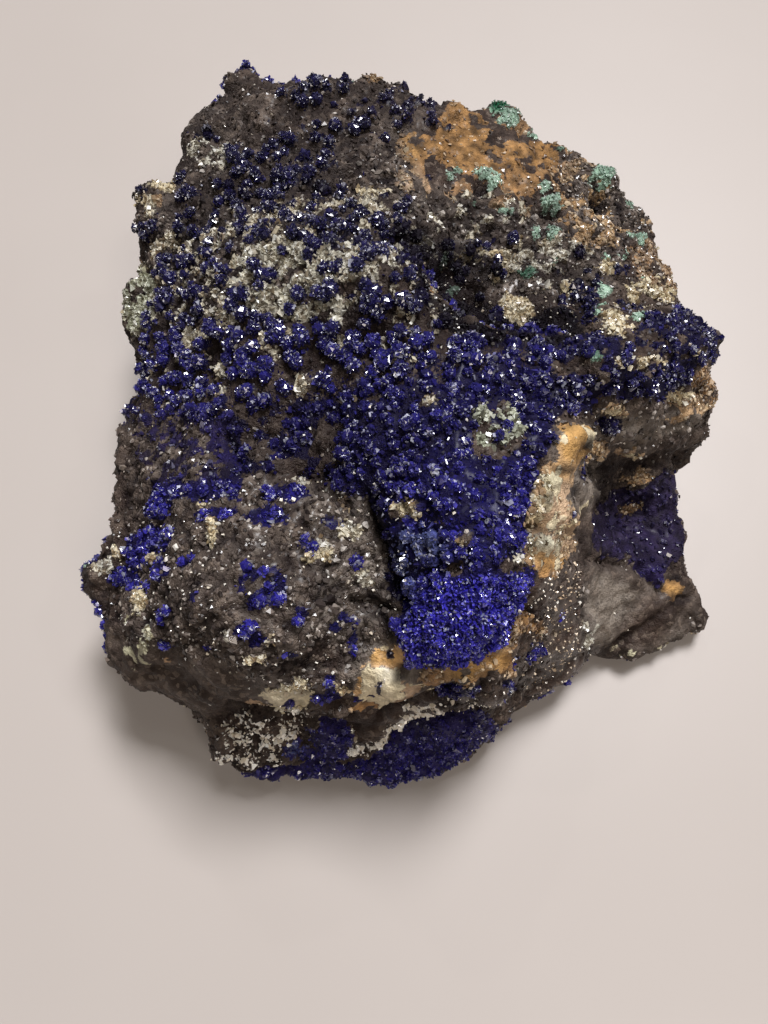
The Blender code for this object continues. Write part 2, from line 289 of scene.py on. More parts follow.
paleLaid = [
    (0.3, [(150, 250), (236, 200), (300, 200), (400, 190), (440, 250), (440, 320), (400, 400), (250, 400),
         (160, 340)]),
    (0.14, [(150, 330), (440, 330), (420, 420), (240, 410), (140, 430)]),
    (0.34, [(170, 318), (345, 318), (352, 350), (300, 366), (250, 350), (190, 368)]),
    (0.62, [(236, 246), (333, 240), (400, 246), (400, 270), (345, 290), (325, 322), (262, 318),
         (236, 290)]),
    (0.5, [(195, 268), (245, 262), (262, 285), (215, 296)]), (0.45, (355, 202, 48, 13)),
    (0.5, (350, 245, 12, 6)), (0.65, (142, 302, 19, 34)), (0.6, (165, 250, 16, 9)),
    (0.55, (168, 190, 10, 12)), (0.5, (215, 155, 26, 15)), (0.45, (180, 332, 10, 8)),
    (0.4, (150, 205, 8, 16)), (1.0, creamBoss), (0.7, (493, 275, 9, 6)), (0.6, (570, 290, 9, 7)),
    (0.7, (612, 326, 16, 7)), (0.5, (650, 292, 26, 12)), (0.42, (550, 262, 44, 24)),
    (0.22, (470, 215, 60, 26)), (0.4, (492, 255, 56, 22)), (0.75, (568, 288, 9, 8)),
    (0.7, (604, 270, 10, 6)), (0.7, (612, 320, 9, 10)),
    (0.24, [(558, 418), (566, 424), (577, 428), (584, 437), (591, 443), (581, 456), (577, 466), (571, 478),
         (565, 487), (563, 498), (565, 512), (567, 526), (567, 548), (560, 563), (552, 576), (543, 582),
         (534, 573), (526, 560), (521, 549), (522, 538), (527, 518), (523, 508), (528, 494), (532, 476),
         (541, 464), (552, 458), (553, 445)]),
    (0.85, (546, 486, 12, 9)), (0.8, (536, 502, 9, 7)), (0.6, (535, 518, 8, 5)), (0.95, (536, 540, 12, 8)),
    (0.25, (575, 505, 10, 12)),
    (1.0, [(368, 668), (384, 661), (397, 667), (410, 680), (408, 692), (392, 702), (380, 708), (372, 704),
         (362, 704), (357, 697), (361, 680)]),
    (0.95, [(256, 688), (280, 679), (301, 674), (310, 684), (318, 692), (302, 708), (282, 706),
         (264, 697)]),
    (0.9, (336, 692, 5, 5)), (0.35, (385, 648, 14, 4)), (0.9, (301, 388, 6, 11)), (0.9, (226, 371, 7, 5)),
    (0.85, (398, 360, 7, 4)), (0.95, (645, 361, 14, 3)), (0.85, (622, 363, 8, 3)), (0.9, (143, 599, 6, 12)),
    (0.9, (213, 535, 3, 12)), (0.9, (205, 504, 9, 4)), (0.7, (317, 554, 10, 7)), (0.85, (153, 556, 4, 5)),
    (0.85, (329, 376, 14, 3)), (0.95, (614, 409, 8, 6)), (0.9, (632, 454, 10, 4)), (0.8, (345, 346, 4, 6)),
    (0.75, (395, 285, 9, 7)), (0.5, (255, 655, 8, 4)), (0.9, (466, 540, 7, 4)), (0.8, (428, 402, 6, 5)),
    (0.3, (562, 530, 4, 20)), (0.2, (690, 350, 14, 5)), (0.45, (497, 425, 26, 26)),
    (0.6, (500, 432, 12, 12)), (0.8, (302, 481, 10, 4)), (0.9, (329, 488, 6, 4)), (0.75, (365, 579, 13, 7)),
    (0.7, (350, 530, 11, 8)), (0.9, (107, 566, 7, 5)), (0.9, (118, 552, 4, 4)), (0.9, (230, 636, 5, 4)),
    (0.9, (268, 638, 3, 4)), (0.85, (421, 622, 5, 7)), (0.7, (480, 625, 9, 4)), (0.8, (516, 562, 8, 5)),
    (0.8, (321, 542, 6, 5)), (0.6, (372, 480, 14, 5)), (0.3, (588, 632, 8, 14)), (0.8, (392, 775, 11, 11)),
    (0.6, (352, 728, 8, 5)), (0.6, (255, 219, 8, 5)), (0.7, (675, 397, 13, 3)), (0.45, (420, 684, 14, 8)),
    (0.6, (410, 512, 11, 8)), (0.3, (140, 640, 18, 26)), (0.35, (640, 650, 40, 8)),
]
whiteLaid = [       # where the pale crystals are white rather than cream
    (0.45, [(150, 200), (440, 190), (440, 420), (150, 420)]),
    (0.62, [(235, 240), (400, 240), (400, 290), (338, 325), (235, 325)]), (0.9, (302, 481, 12, 5)),
    (0.95, (329, 488, 8, 6)), (0.8, (365, 579, 14, 8)), (0.6, (350, 530, 12, 9)), (0.95, (107, 566, 9, 7)),
    (0.95, (230, 636, 7, 6)), (0.95, (268, 638, 5, 6)), (0.95, (421, 622, 8, 9)), (0.9, (480, 625, 11, 6)),
    (0.7, (516, 562, 10, 7)), (0.9, (321, 542, 8, 7)), (0.7, (372, 480, 16, 7)), (0.8, (588, 636, 14, 24)),
    (0.35, (390, 668, 10, 6)), (0.5, (537, 541, 16, 8)), (0.2, (285, 690, 26, 14)),
    (0.95, (392, 775, 13, 13)), (0.8, (352, 728, 10, 7)), (0.8, (215, 155, 28, 17)),
    (0.7, (550, 262, 44, 24)), (0.6, (470, 215, 60, 26)), (0.12, (511, 313, 23, 18)),
    (0.6, (497, 425, 28, 28)),
]
greenishLaid = [    # where the pale crystals are greenish
    (0.8, (142, 302, 20, 36)), (0.8, (497, 430, 30, 30)),
    (0.12, [(240, 244), (340, 244), (340, 325), (240, 320)]), (0.6, (140, 640, 20, 28)),
    (0.5, (640, 650, 42, 10)), (0.4, (540, 541, 16, 6)), (0.35, (545, 482, 14, 12)),
]
mintLaid = [        # malachite
    (0.95, (506, 125, 12, 6)), (0.9, (484, 176, 8, 5)), (0.9, (492, 188, 7, 7)), (0.85, (543, 186, 5, 6)),
    (0.85, (549, 203, 8, 6)), (0.8, (558, 209, 5, 4)), (0.8, (602, 178, 9, 11)), (0.5, (590, 184, 7, 8)),
    (0.8, (634, 243, 9, 6)), (0.8, (606, 261, 6, 5)), (0.7, (619, 257, 5, 6)), (0.95, (600, 292, 5, 7)),
    (0.8, (599, 311, 4, 5)), (0.7, (637, 318, 6, 4)), (0.6, (536, 134, 7, 6)), (0.55, (567, 146, 9, 6)),
    (0.5, (455, 173, 6, 7)), (1.0, (502, 108, 11, 9)), (0.8, (528, 276, 7, 7)), (0.9, (597, 361, 8, 3)),
    (0.35, (506, 212, 10, 10)), (0.6, (549, 235, 6, 4)), (0.4, (440, 260, 4, 8)), (0.6, (453, 291, 4, 7)),
    (0.3, (582, 156, 10, 5)), (0.4, (630, 208, 10, 5)), (0.25, (560, 258, 8, 6)), (0.4, (535, 235, 4, 5)),
    (0.5, (478, 203, 6, 4)), (0.4, (645, 276, 6, 5)), (0.3, (432, 258, 5, 5)),
]
deepLaid = [        # where the malachite is dark green
    (0.04, [(380, 80), (700, 80), (700, 380), (380, 380)]), (1.0, (502, 108, 12, 10)),
    (0.9, (528, 276, 8, 7)), (0.9, (597, 361, 9, 4)), (0.25, (602, 178, 14, 16)), (0.2, (634, 243, 13, 9)),
    (0.1, (508, 127, 12, 6)), (0.0, (488, 182, 14, 14)), (0.0, (549, 198, 12, 18)),
    (0.6, (567, 146, 10, 7)),
]
# how light and grey the bare rock is, partly painted light: over 0.8 it takes a pale painted highlight
lightAndHighlightLaid = [       # how light and grey the bare rock is
    (0.12, wholeView), (0.5, [(140, 90), (420, 80), (420, 260), (140, 330)]), (0.8, (215, 165, 30, 16)),
    (0.38, (290, 118, 50, 24)), (0.7, (225, 128, 20, 10)), (0.6, (378, 172, 34, 30)),
    (0.7, [(400, 175), (470, 195), (540, 215), (620, 250), (610, 300), (500, 300), (440, 255), (400, 250)]),
    (0.75, [(560, 150), (620, 170), (650, 230), (610, 250), (570, 230)]),
    (0.55, [(575, 560), (640, 560), (714, 600), (700, 630), (600, 665), (570, 640)]),
    (1.0, [(574, 590), (600, 566), (636, 590), (612, 640), (586, 652), (570, 640)]),
    (1.0, (590, 626, 16, 14)), (0.9, (686, 622, 14, 12)),
    (0.92, [(640, 640), (700, 622), (705, 630), (640, 655), (610, 655)]),
    (0.1, [(640, 600), (690, 600), (660, 640), (620, 650), (615, 640)]), (0.7, (686, 620, 10, 7)),
    (0.92, [(596, 412), (705, 398), (706, 425), (660, 448), (605, 450)]), (0.9, (618, 432, 9, 9)),
    (0.35, [(640, 446), (690, 440), (680, 462), (640, 462)]),
    (0.45, [(95, 610), (130, 640), (220, 668), (250, 700), (200, 720), (110, 665)]), (0.2, valleyFloor),
    (0.75, (180, 235, 24, 30)),
    (0.95, [(552, 425), (590, 425), (604, 446), (604, 480), (588, 510), (572, 560), (556, 584), (540, 580),
         (520, 555), (526, 500), (545, 462)]),
    (0.95, (384, 676, 40, 40)), (0.95, (285, 692, 34, 16)), (0.95, (468, 668, 22, 10)),
    (0.9, (504, 655, 12, 20)), (0.9, (522, 622, 12, 12)), (0.35, (545, 568, 12, 12)),
    (0.15, [(570, 512), (602, 520), (602, 562), (568, 560)]), (0.9, notchBead), (1.0, ledgeKnob),
    (1.0, ledgeBead),
    (0.0, [(524, 590), (545, 580), (572, 560), (584, 640), (580, 690), (440, 730), (420, 700), (500, 680)]),
    (0.0, [(225, 712), (320, 705), (440, 690), (450, 715), (380, 755), (290, 765), (230, 765)]),
    (0.5, [(160, 470), (240, 470), (240, 520), (160, 520)]),
    (0.85, [(300, 480), (370, 490), (395, 590), (380, 650), (310, 640)]),
    (0.5, [(130, 420), (232, 420), (300, 500), (310, 640), (240, 690), (130, 640)]),
]
# glitter: white crystals whose bright colour also stands in for their glints, as painted highlight
glitterLaid = [     # small clear crystals
    (0.05, [(240, 480), (350, 470), (400, 600), (400, 700), (250, 690), (130, 640), (110, 560),
         (160, 520)]),
    (0.5, [(228, 724), (240, 710), (262, 716), (312, 712), (312, 722), (296, 735), (284, 758), (250, 762),
         (226, 745)]),
    (0.76, [(330, 758), (350, 746), (372, 733), (398, 716), (408, 724), (385, 742), (366, 752),
         (346, 760)]),
    (0.75, [(398, 718), (404, 706), (420, 701), (438, 704), (442, 714), (430, 724), (408, 730)]),
    (0.16, [(440, 700), (470, 690), (500, 700), (480, 720), (448, 720)]),
    (0.2, [(552, 565), (570, 560), (576, 600), (578, 650), (560, 690), (528, 700), (522, 670), (530, 600)]),
    (0.07, [(400, 245), (500, 245), (575, 270), (575, 340), (440, 340), (415, 290)]),
    (0.06, (215, 718, 14, 22)),
]
wetLaid = [         # where the rock shines
    (0.9, [(540, 570), (576, 560), (592, 600), (602, 660), (575, 692), (520, 694), (510, 670), (540, 640)]),
    (0.6, valleyFloor), (0.5, [(380, 690), (520, 690), (480, 720), (380, 735)]),
    (0.35, [(240, 480), (380, 480), (400, 690), (250, 690)]),
    (0.5, [(400, 250), (560, 250), (560, 340), (430, 340)]),
]
smoothLaid = [      # where the rock's relief is low
    (0.25, [(200, 90), (430, 85), (420, 140), (340, 140), (240, 140), (190, 200), (140, 220), (140, 180)]),
    (0.92, [(350, 690), (360, 668), (370, 648), (395, 640), (430, 650), (414, 690), (384, 712),
         (350, 712)]),
    (0.85, [(240, 680), (300, 682), (342, 692), (335, 708), (245, 702)]),
    (0.7, [(552, 425), (590, 420), (584, 468), (562, 500), (558, 590), (525, 600), (535, 520), (542, 462)]),
    (0.6, [(400, 110), (480, 95), (580, 140), (540, 200), (410, 200)]),
    (0.8, [(575, 560), (700, 580), (714, 617), (640, 660), (590, 660)]),
    (0.55, [(600, 405), (705, 400), (700, 440), (675, 466), (600, 470)]),
    (1.0, [(95, 615), (130, 640), (220, 665), (260, 690), (215, 715), (140, 690), (110, 660)]),
    (0.7, [(545, 580), (575, 600), (590, 680), (540, 690)]),
    (0.7, [(562, 480), (600, 478), (590, 560), (560, 560)]),
    (0.8, [(396, 700), (430, 676), (452, 668), (452, 680), (400, 716), (366, 735), (350, 716)]),
    (0.8, (468, 668, 18, 9)), (0.8, (502, 658, 12, 16)),
]
brightLaid = [      # how bright the azurite is
    (0.02, wholeView),
    (0.06, [(140, 270), (420, 250), (470, 300), (560, 340), (540, 480), (350, 480), (240, 470),
         (130, 430)]),
    (0.2, [(140, 335), (440, 330), (560, 350), (540, 480), (350, 480), (240, 470), (130, 430)]),
    (0.12, [(560, 320), (714, 310), (714, 400), (560, 420)]),
    (0.48, [(100, 480), (360, 480), (370, 700), (90, 700)]), (0.6, (300, 542, 14, 14)),
    (0.5, (250, 632, 16, 12)), (0.42, [(385, 470), (535, 470), (530, 560), (400, 560)]),
    (0.95, [(398, 585), (470, 570), (535, 572), (500, 668), (405, 680)]),
    (0.55, [(230, 700), (520, 690), (520, 800), (230, 800)]), (0.9, (402, 757, 14, 10)),
    (0.75, (455, 745, 28, 18)), (0.45, (225, 446, 18, 14)), (0.7, (532, 650, 10, 14)),
    (0.7, (556, 614, 7, 12)), (0.12, [(570, 460), (700, 460), (700, 600), (570, 600)]),
    (0.5, (650, 578, 10, 10)), (0.9, (293, 745, 8, 8)),
]
dullLaid = [        # purple, dusty azurite
    (1.0, [(570, 460), (710, 450), (710, 610), (570, 610)]),
    (0.8, [(130, 415), (235, 420), (235, 480), (140, 482)]), (0.5, (395, 108, 44, 20)),
    (0.6, [(235, 700), (530, 690), (520, 810), (235, 810)]), (0.3, (455, 262, 40, 16)),
]
steelLaid = [       # grey-blue azurite
    (0.8, (420, 545, 27, 15)), (0.6, (410, 580, 8, 20)), (0.5, (285, 530, 7, 5)), (0.95, (293, 745, 8, 7)),
]
darkLaid = [        # what lies in deep shade
    (0.8, [(400, 240), (470, 246), (500, 268), (490, 290), (440, 300), (400, 262)]),
    (0.9, [(388, 232), (425, 226), (440, 246), (430, 262), (400, 254)]), (0.97, (432, 284, 15, 26)),
    (0.97, [(438, 300), (488, 300), (500, 320), (570, 318), (582, 336), (560, 346), (500, 344), (462, 338),
         (440, 325)]),
    (0.7, [(456, 270), (486, 268), (486, 300), (450, 302)]),
    (0.95, [(520, 314), (580, 312), (584, 338), (530, 342)]), (0.6, (580, 256, 12, 6)),
    (0.5, (560, 275, 30, 8)), (0.0, (511, 313, 22, 16)), (0.9, (482, 191, 5, 7)), (0.9, (546, 213, 11, 4)),
    (0.95, (597, 205, 9, 7)), (0.8, (402, 671, 5, 5)), (0.9, (579, 445, 4, 5)), (0.9, (559, 470, 9, 3)),
    (0.9, (533, 529, 15, 4)), (0.8, (541, 500, 5, 3)), (0.7, (592, 498, 8, 5)), (0.8, (570, 490, 4, 6)),
    (0.6, [(600, 464), (640, 460), (680, 466), (650, 472), (604, 474)]), (0.9, (678, 599, 8, 4)),
    (0.8, (675, 578, 5, 4)), (0.7, (203, 134, 13, 6)), (0.8, (323, 188, 14, 8)), (0.6, (236, 190, 8, 6)),
    (0.6, (252, 196, 8, 6)), (0.5, (265, 145, 6, 8)), (0.7, (395, 582, 6, 20)), (0.5, (235, 440, 12, 14)),
    (0.45, (582, 545, 12, 18)), (0.35, [(235, 405), (350, 405), (350, 475), (240, 478)]),
    (0.5, (600, 484, 10, 14)), (0.5, [(300, 475), (345, 472), (368, 500), (350, 512), (320, 490)]),
    (0.5, [(225, 712), (250, 706), (300, 716), (345, 716), (340, 722), (262, 720)]),
]

# clefts and pits, cut into the relief and darkened with painted shade: a line of (across, down) with its
# half width and depth in millimetres, and an oval (across, down, half width, half height) with its depth
clefts = [
    ([(366, 498), (372, 525), (384, 550), (398, 578), (404, 605)], 5.0, 2.6),
    ([(352, 600), (375, 605), (402, 612)], 4.0, 1.4),
    ([(592, 470), (612, 462), (640, 468), (668, 458), (690, 460)], 9.0, 1.0),
    ([(225, 436), (236, 455), (246, 468)], 4.0, 1.4), ([(300, 471), (322, 474)], 6.0, 1.8),
    ([(262, 722), (300, 716), (330, 724), (352, 716)], 4.0, 1.4),
    ([(230, 704), (262, 708), (300, 712)], 4.0, 1.2), ([(392, 732), (430, 722), (470, 714)], 5.0, 1.6),
    ([(585, 560), (610, 562), (640, 570), (660, 592)], 4.0, 0.9),
    ([(618, 640), (640, 628), (668, 606)], 5.0, 0.8), ([(535, 528), (522, 532)], 3.0, 0.7),
    ([(300, 243), (345, 241), (380, 246)], 4.0, 1.0), ([(380, 712), (420, 696), (450, 684)], 4.0, 1.2),
    ([(310, 320), (330, 330), (332, 345)], 4.0, 0.9), ([(444, 440), (440, 470), (430, 500)], 4.0, 0.8),
]
pits = [
    (480, 189, 6, 8, 2.4), (549, 213, 11, 5, 2.4), (598, 205, 10, 8, 3.0), (432, 284, 17, 26, 1.4),
    (470, 322, 36, 20, 1.3), (548, 331, 36, 14, 1.2), (407, 241, 28, 12, 1.2), (402, 668, 6, 5, 1.8),
    (620, 385, 8, 4, 0.8), (455, 568, 9, 5, 1.0), (196, 316, 16, 5, 1.0), (290, 260, 8, 6, 0.7),
    (330, 190, 16, 6, 1.0), (682, 598, 8, 4, 1.0), (640, 303, 12, 6, 1.0), (586, 400, 8, 5, 0.8),
    (395, 590, 6, 14, 1.0), (480, 135, 4, 4, 0.6), (375, 500, 6, 10, 1.2),
]
# knobs that stand out at the rim and on the top: across, down, half width, half height, height
bosses = [
    (243, 88, 15, 14, 1.5), (265, 92, 14, 12, 0.8), (154, 193, 15, 14, 1.5), (210, 118, 15, 13, 1.2),
    (375, 82, 11, 9, 1.0), (322, 86, 14, 10, 0.8), (98, 576, 9, 9, 1.6), (704, 345, 14, 16, 1.0),
    (190, 140, 12, 10, 0.8), (130, 300, 12, 16, 0.6), (511, 313, 17, 14, 1.6), (490, 178, 12, 10, 0.8),
    (508, 120, 14, 10, 0.9), (545, 186, 9, 9, 0.7), (603, 176, 12, 10, 0.7), (450, 108, 12, 10, 0.8),
    (340, 488, 8, 6, 0.7), (578, 436, 14, 12, 0.6), (645, 360, 16, 6, 0.5), (250, 630, 14, 10, 0.4),
    (614, 406, 11, 8, 0.9), (633, 451, 10, 6, 0.9), (678, 412, 24, 7, 0.8), (622, 432, 18, 8, 0.7),
    (583, 492, 10, 14, 0.9), (568, 530, 5, 24, 0.9), (600, 610, 12, 24, 0.6), (388, 680, 22, 16, 0.8),
    (372, 650, 9, 7, 0.7), (284, 690, 22, 9, 0.7), (430, 675, 30, 4, 0.8), (570, 436, 10, 10, 0.7),
    (548, 480, 14, 12, 0.6), (538, 541, 12, 6, 0.5), (500, 104, 14, 10, 1.2), (650, 205, 12, 26, 2.0),
    (224, 742, 14, 16, 2.0), (245, 762, 16, 12, 1.5), (270, 780, 16, 9, 1.2),
]


def laidAt(spots, patches, soft=5.0):
    # goes through the patches in turn, each covering what came before
    amount = np.zeros(len(spots))
    for share, patch in patches:
        gap = outlineGap(spots, patch) if isinstance(patch, list) else ovalGap(spots, patch)
        inside = np.clip(0.5 - gap / soft, 0.0, 1.0)
        amount = amount * (1.0 - inside) + share * inside
    return amount


def evenShare(noise):
    # spreads a noise's bell of values evenly over 0 to 1
    return 0.5 + 0.5 * np.tanh(2.4 * noise)


def crisp(amount, threshold, width=0.10):
    # 1 where the amount is over the threshold, with a narrow soft edge
    return smoothStep(amount - threshold, -width / 2, width / 2)


# the rock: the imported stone, evened out, then given its relief
voxel = 0.52 * mm
lumpSize, lumpHeight = 5.0 * mm, 1.15 * mm
foldSize, foldHeight = 2.2 * mm, 0.50 * mm
rockPlan = {        # spacing, salt and height of what stands on scattered points
    "grain": (1.25 * mm, 53, 0.85 * mm),
    "knob": (2.8 * mm, 59, 1.05 * mm),
    "rosette": (1.95 * mm, 61, 0.60 * mm),
    "bead": (1.5 * mm, 67, 0.0),        # carries small azurite balls only
}


def mineralsAt(points, normals, cells):
    # shares of each mineral, from the laid patches where the view reaches and from noise elsewhere
    toView = np.array(view["place"]) - points
    toView /= np.linalg.norm(toView, axis=1)[:, None]
    facing = (normals * toView).sum(axis=1)
    seen = smoothStep(facing, -0.12, 0.06)
    hidden = 1.0 - seen
    spots = spotOf(points)
    ragged = np.stack([layeredNoise(points, 3.2 * mm, 3, salt) for salt in (11, 17)], axis=1)
    fine = np.stack([layeredNoise(points, 1.1 * mm, 2, salt) for salt in (23, 29)], axis=1)
    bent = spots + 5.0 * ragged + 3.5 * fine
    near = {name: cell[0] / rockPlan[name][0] for name, cell in cells.items()}
    roseNumber = cells["rosette"][1]
    crown = smoothStep(-(spots[:, 1] + 0.20 * (spots[:, 0] - 384)), -440, -330)
    crown = np.where(spots[:, 0] > 560, crown * 0.5, crown)
    # gaps between rosettes lie deep in shade and carry little azurite on the crown
    between = smoothStep(near["rosette"], 0.38, 0.60)
    rightRim = smoothStep(points[:, 0] + 0.5 * points[:, 1], 10 * mm, 24 * mm)
    drift = [layeredNoise(points, size * mm, 3, salt)
             for size, salt in ((15, 31), (11, 37), (7, 41), (5, 43))]

    def speck(size, layers, salt):
        return evenShare(layeredNoise(points, size * mm, layers, salt))

    broken = speck(1.3, 2, 71)
    grounds = {     # patches, share where hidden, and the threshold that breaks the edges up
        "limonite": (limoniteLaid, 0.9 * smoothStep(drift[1], 0.12, 0.45), speck(2.4, 3, 73)),
        "pale": (paleLaid, 0.7 * smoothStep(drift[2], 0.30, 0.48), speck(1.5, 3, 79)),
        "azurite": (azuriteLaid, 0.9 * smoothStep(drift[0] - 0.22 * rightRim, 0.10, 0.28),
                    broken * (1.0 - crown) + crown * (0.75 * roseNumber + 0.25 * broken)),
        "malachite": (mintLaid, 0.9 * smoothStep(drift[3], 0.56, 0.66), speck(1.6, 3, 83)),
    }
    minerals = {}
    for name, (patches, elsewhere, threshold) in grounds.items():
        share = crisp(seen * laidAt(bent, patches) + hidden * elsewhere, 0.03 + 0.92 * threshold)
        if name == "azurite":
            share = share * (1.0 - 0.92 * between * crown)
        for earlier in minerals:
            minerals[earlier] = minerals[earlier] * (1.0 - share)
        minerals[name] = share
    shades = {      # patches, softness of their edges and share where hidden
        "orange": (orangeLaid, 14.0, 0.45),
        "white": (whiteLaid, 8.0, 0.3),
        "greenish": (greenishLaid, 8.0, 0.0),
        "deep": (deepLaid, 4.0, 0.3),
        "light": (lightAndHighlightLaid, 14.0, 0.35 + 0.5 * drift[1]),
        "glitter": (glitterLaid, 4.0, 0.0),
        "wet": (wetLaid, 12.0, 0.2),
        "bright": (brightLaid, 24.0, 0.35),
        "dull": (dullLaid, 20.0, 0.0),
        "steel": (steelLaid, 10.0, 0.0),
    }
    for name, (patches, soft, elsewhere) in shades.items():
        minerals[name] = seen * laidAt(bent, patches, soft) + hidden * elsewhere
    clumps = smoothStep(softNoise(points, 0.9 * mm, 89), -0.35, 0.35)
    minerals["glitter"] *= 0.15 + 0.85 * clumps
    minerals["smooth"] = np.maximum(seen * laidAt(spots, smoothLaid, 18.0) + hidden * 0.2,
                                    0.5 * minerals["malachite"])
    # painted deep shade, from the laid patches
    minerals["dark"] = seen * np.sqrt(laidAt(bent, darkLaid, 7.0))
    minerals["between"] = between * (0.55 + 0.45 * crown)
    # gaps between grains and knobs, darkened further on as painted shade
    minerals["gap"] = (0.55 * smoothStep(near["grain"], 0.42, 0.72)
                       + 0.45 * smoothStep(near["knob"], 0.45, 0.75))
    minerals.update(crown=crown, seen=seen, facing=facing)
    return minerals, spots


def readAll(items, key, wide=1, kind=float):
    # one property of every item, as an array with a row for each
    values = np.empty(len(items) * wide, dtype=kind)
    items.foreach_get(key, values)
    return values.reshape(-1, wide) if wide > 1 else values


def evenCopy(node):
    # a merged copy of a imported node, with its faces made even by a voxel remesh
    thing = bpy.data.objects.new("rockMatrix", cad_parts[node].data.copy())
    bpy.context.collection.objects.link(thing)
    weld = thing.modifiers.new("weld", "WELD")
    weld.merge_threshold = 0.01 * mm
    even = thing.modifiers.new("even", "REMESH")
    even.mode = "VOXEL"
    even.voxel_size = voxel
    soften = thing.modifiers.new("soften", "SMOOTH")
    soften.factor = 0.5
    soften.iterations = 16
    graph = bpy.context.evaluated_depsgraph_get()
    made = bpy.data.meshes.new_from_object(thing.evaluated_get(graph))
    thing.modifiers.clear()
    thing.data = made
    made.name = "rockMatrix"
    return thing


def flattenFoot(thing):
    # the evened foot becomes one flat face
    shape = bmesh.new()
    shape.from_mesh(thing.data)
    foot = [face for face in shape.faces
            if face.normal.z < -0.7 and max(corner.co.z for corner in face.verts) < 0.5 * mm]
    for face in foot:
        for corner in face.verts:
            corner.co.z = 0.0
    bmesh.ops.dissolve_faces(shape, faces=foot, use_verts=True)
    shape.to_mesh(thing.data)
    shape.free()


def domes(near, size, reach):
    # half balls standing on the scattered points: root of 1 - (gap over reach) squared
    return np.sqrt(np.clip(1.0 - (near / (reach * size)) ** 2, 0.0, 1.0))


def cutsAt(spots, widen=1.0):
    # depth in millimetres and relative gap of each cleft, then of each pit
    for line, wide, depth in clefts:
        yield depth, lineGap(spots, line) / (wide * widen)
    for across, down, wide, high, depth in pits:
        yield depth, ovalReach(spots, across, down, wide, high)


def reliefAt(points, minerals, spots, cells):
    # outward shift: lumps everywhere, rosettes under azurite, grains on bare rock, clefts and pits
    ridges = 1.0 - 2.0 * np.abs(layeredNoise(points, lumpSize, 3, 3))
    shift = lumpHeight * (0.6 * layeredNoise(points, lumpSize, 4, 5) + 0.4 * ridges - 0.2)
    grainSize, knobSize, roseSize = [rockPlan[name][0] for name in ("grain", "knob", "rosette")]
    grainHeight, knobHeight, roseHeight = [rockPlan[name][2] for name in ("grain", "knob", "rosette")]
    nearGrain, grainNumber = cells["grain"][:2]
    nearKnob, knobNumber = cells["knob"][:2]
    nearRose, roseNumber = cells["rosette"][:2]
    azurite, crown, smooth = minerals["azurite"], minerals["crown"], minerals["smooth"]
    rough = 1.0 - 0.8 * smooth
    cone = 0.5 - nearGrain / grainSize
    dome = domes(nearKnob, knobSize, 0.62)
    shift += rough * grainHeight * cone * (0.6 + 0.8 * grainNumber) * (1.0 - 0.5 * azurite)
    shift += rough * knobHeight * dome * knobNumber * (1.0 - azurite)
    rose = domes(nearRose, roseSize, 0.56) * (0.6 + 0.4 * roseNumber)
    shift += azurite * roseHeight * rose * (0.45 + 0.65 * crown)
    shift += mm * azurite * (0.15 + 0.25 * crown)
    shift += 0.3 * mm * (minerals["malachite"] + 0.5 * minerals["pale"])
    folds = 1.0 - 2.0 * np.abs(layeredNoise(points, foldSize, 3, 97))
    shift += foldHeight * smooth * folds
    for depth, gap in cutsAt(spots):
        shift -= minerals["seen"] * depth * mm * np.exp(-gap ** 2)
    for across, down, wide, high, height in bosses:
        shift += height * mm * np.exp(-ovalReach(spots, across, down, wide, high) ** 2)
    # how far a point stands up on a grain or knob; the rock is painted lighter there as top light
    raisedTopLight = rough * (0.5 * cone + 0.6 * dome * knobNumber)
    return shift, smoothStep(raisedTopLight, 0.05, 0.45)


def paintedPitShadeAt(spots):
    # how far a point lies in a cleft or pit, from 0 to 1, as the depth of painted shade there
    deep = np.zeros(len(spots))
    for depth, gap in cutsAt(spots, 1.1):
        deep = np.maximum(deep, min(depth / 2.0, 1.0) * np.exp(-gap ** 2))
    return deep


def keepAttribute(mesh, name, values):
    # a number for each vertex, which the shaders read by its name
    layer = mesh.attributes.new(name, "FLOAT", "POINT")
    layer.data.foreach_set("value", np.asarray(values, dtype=np.float32))


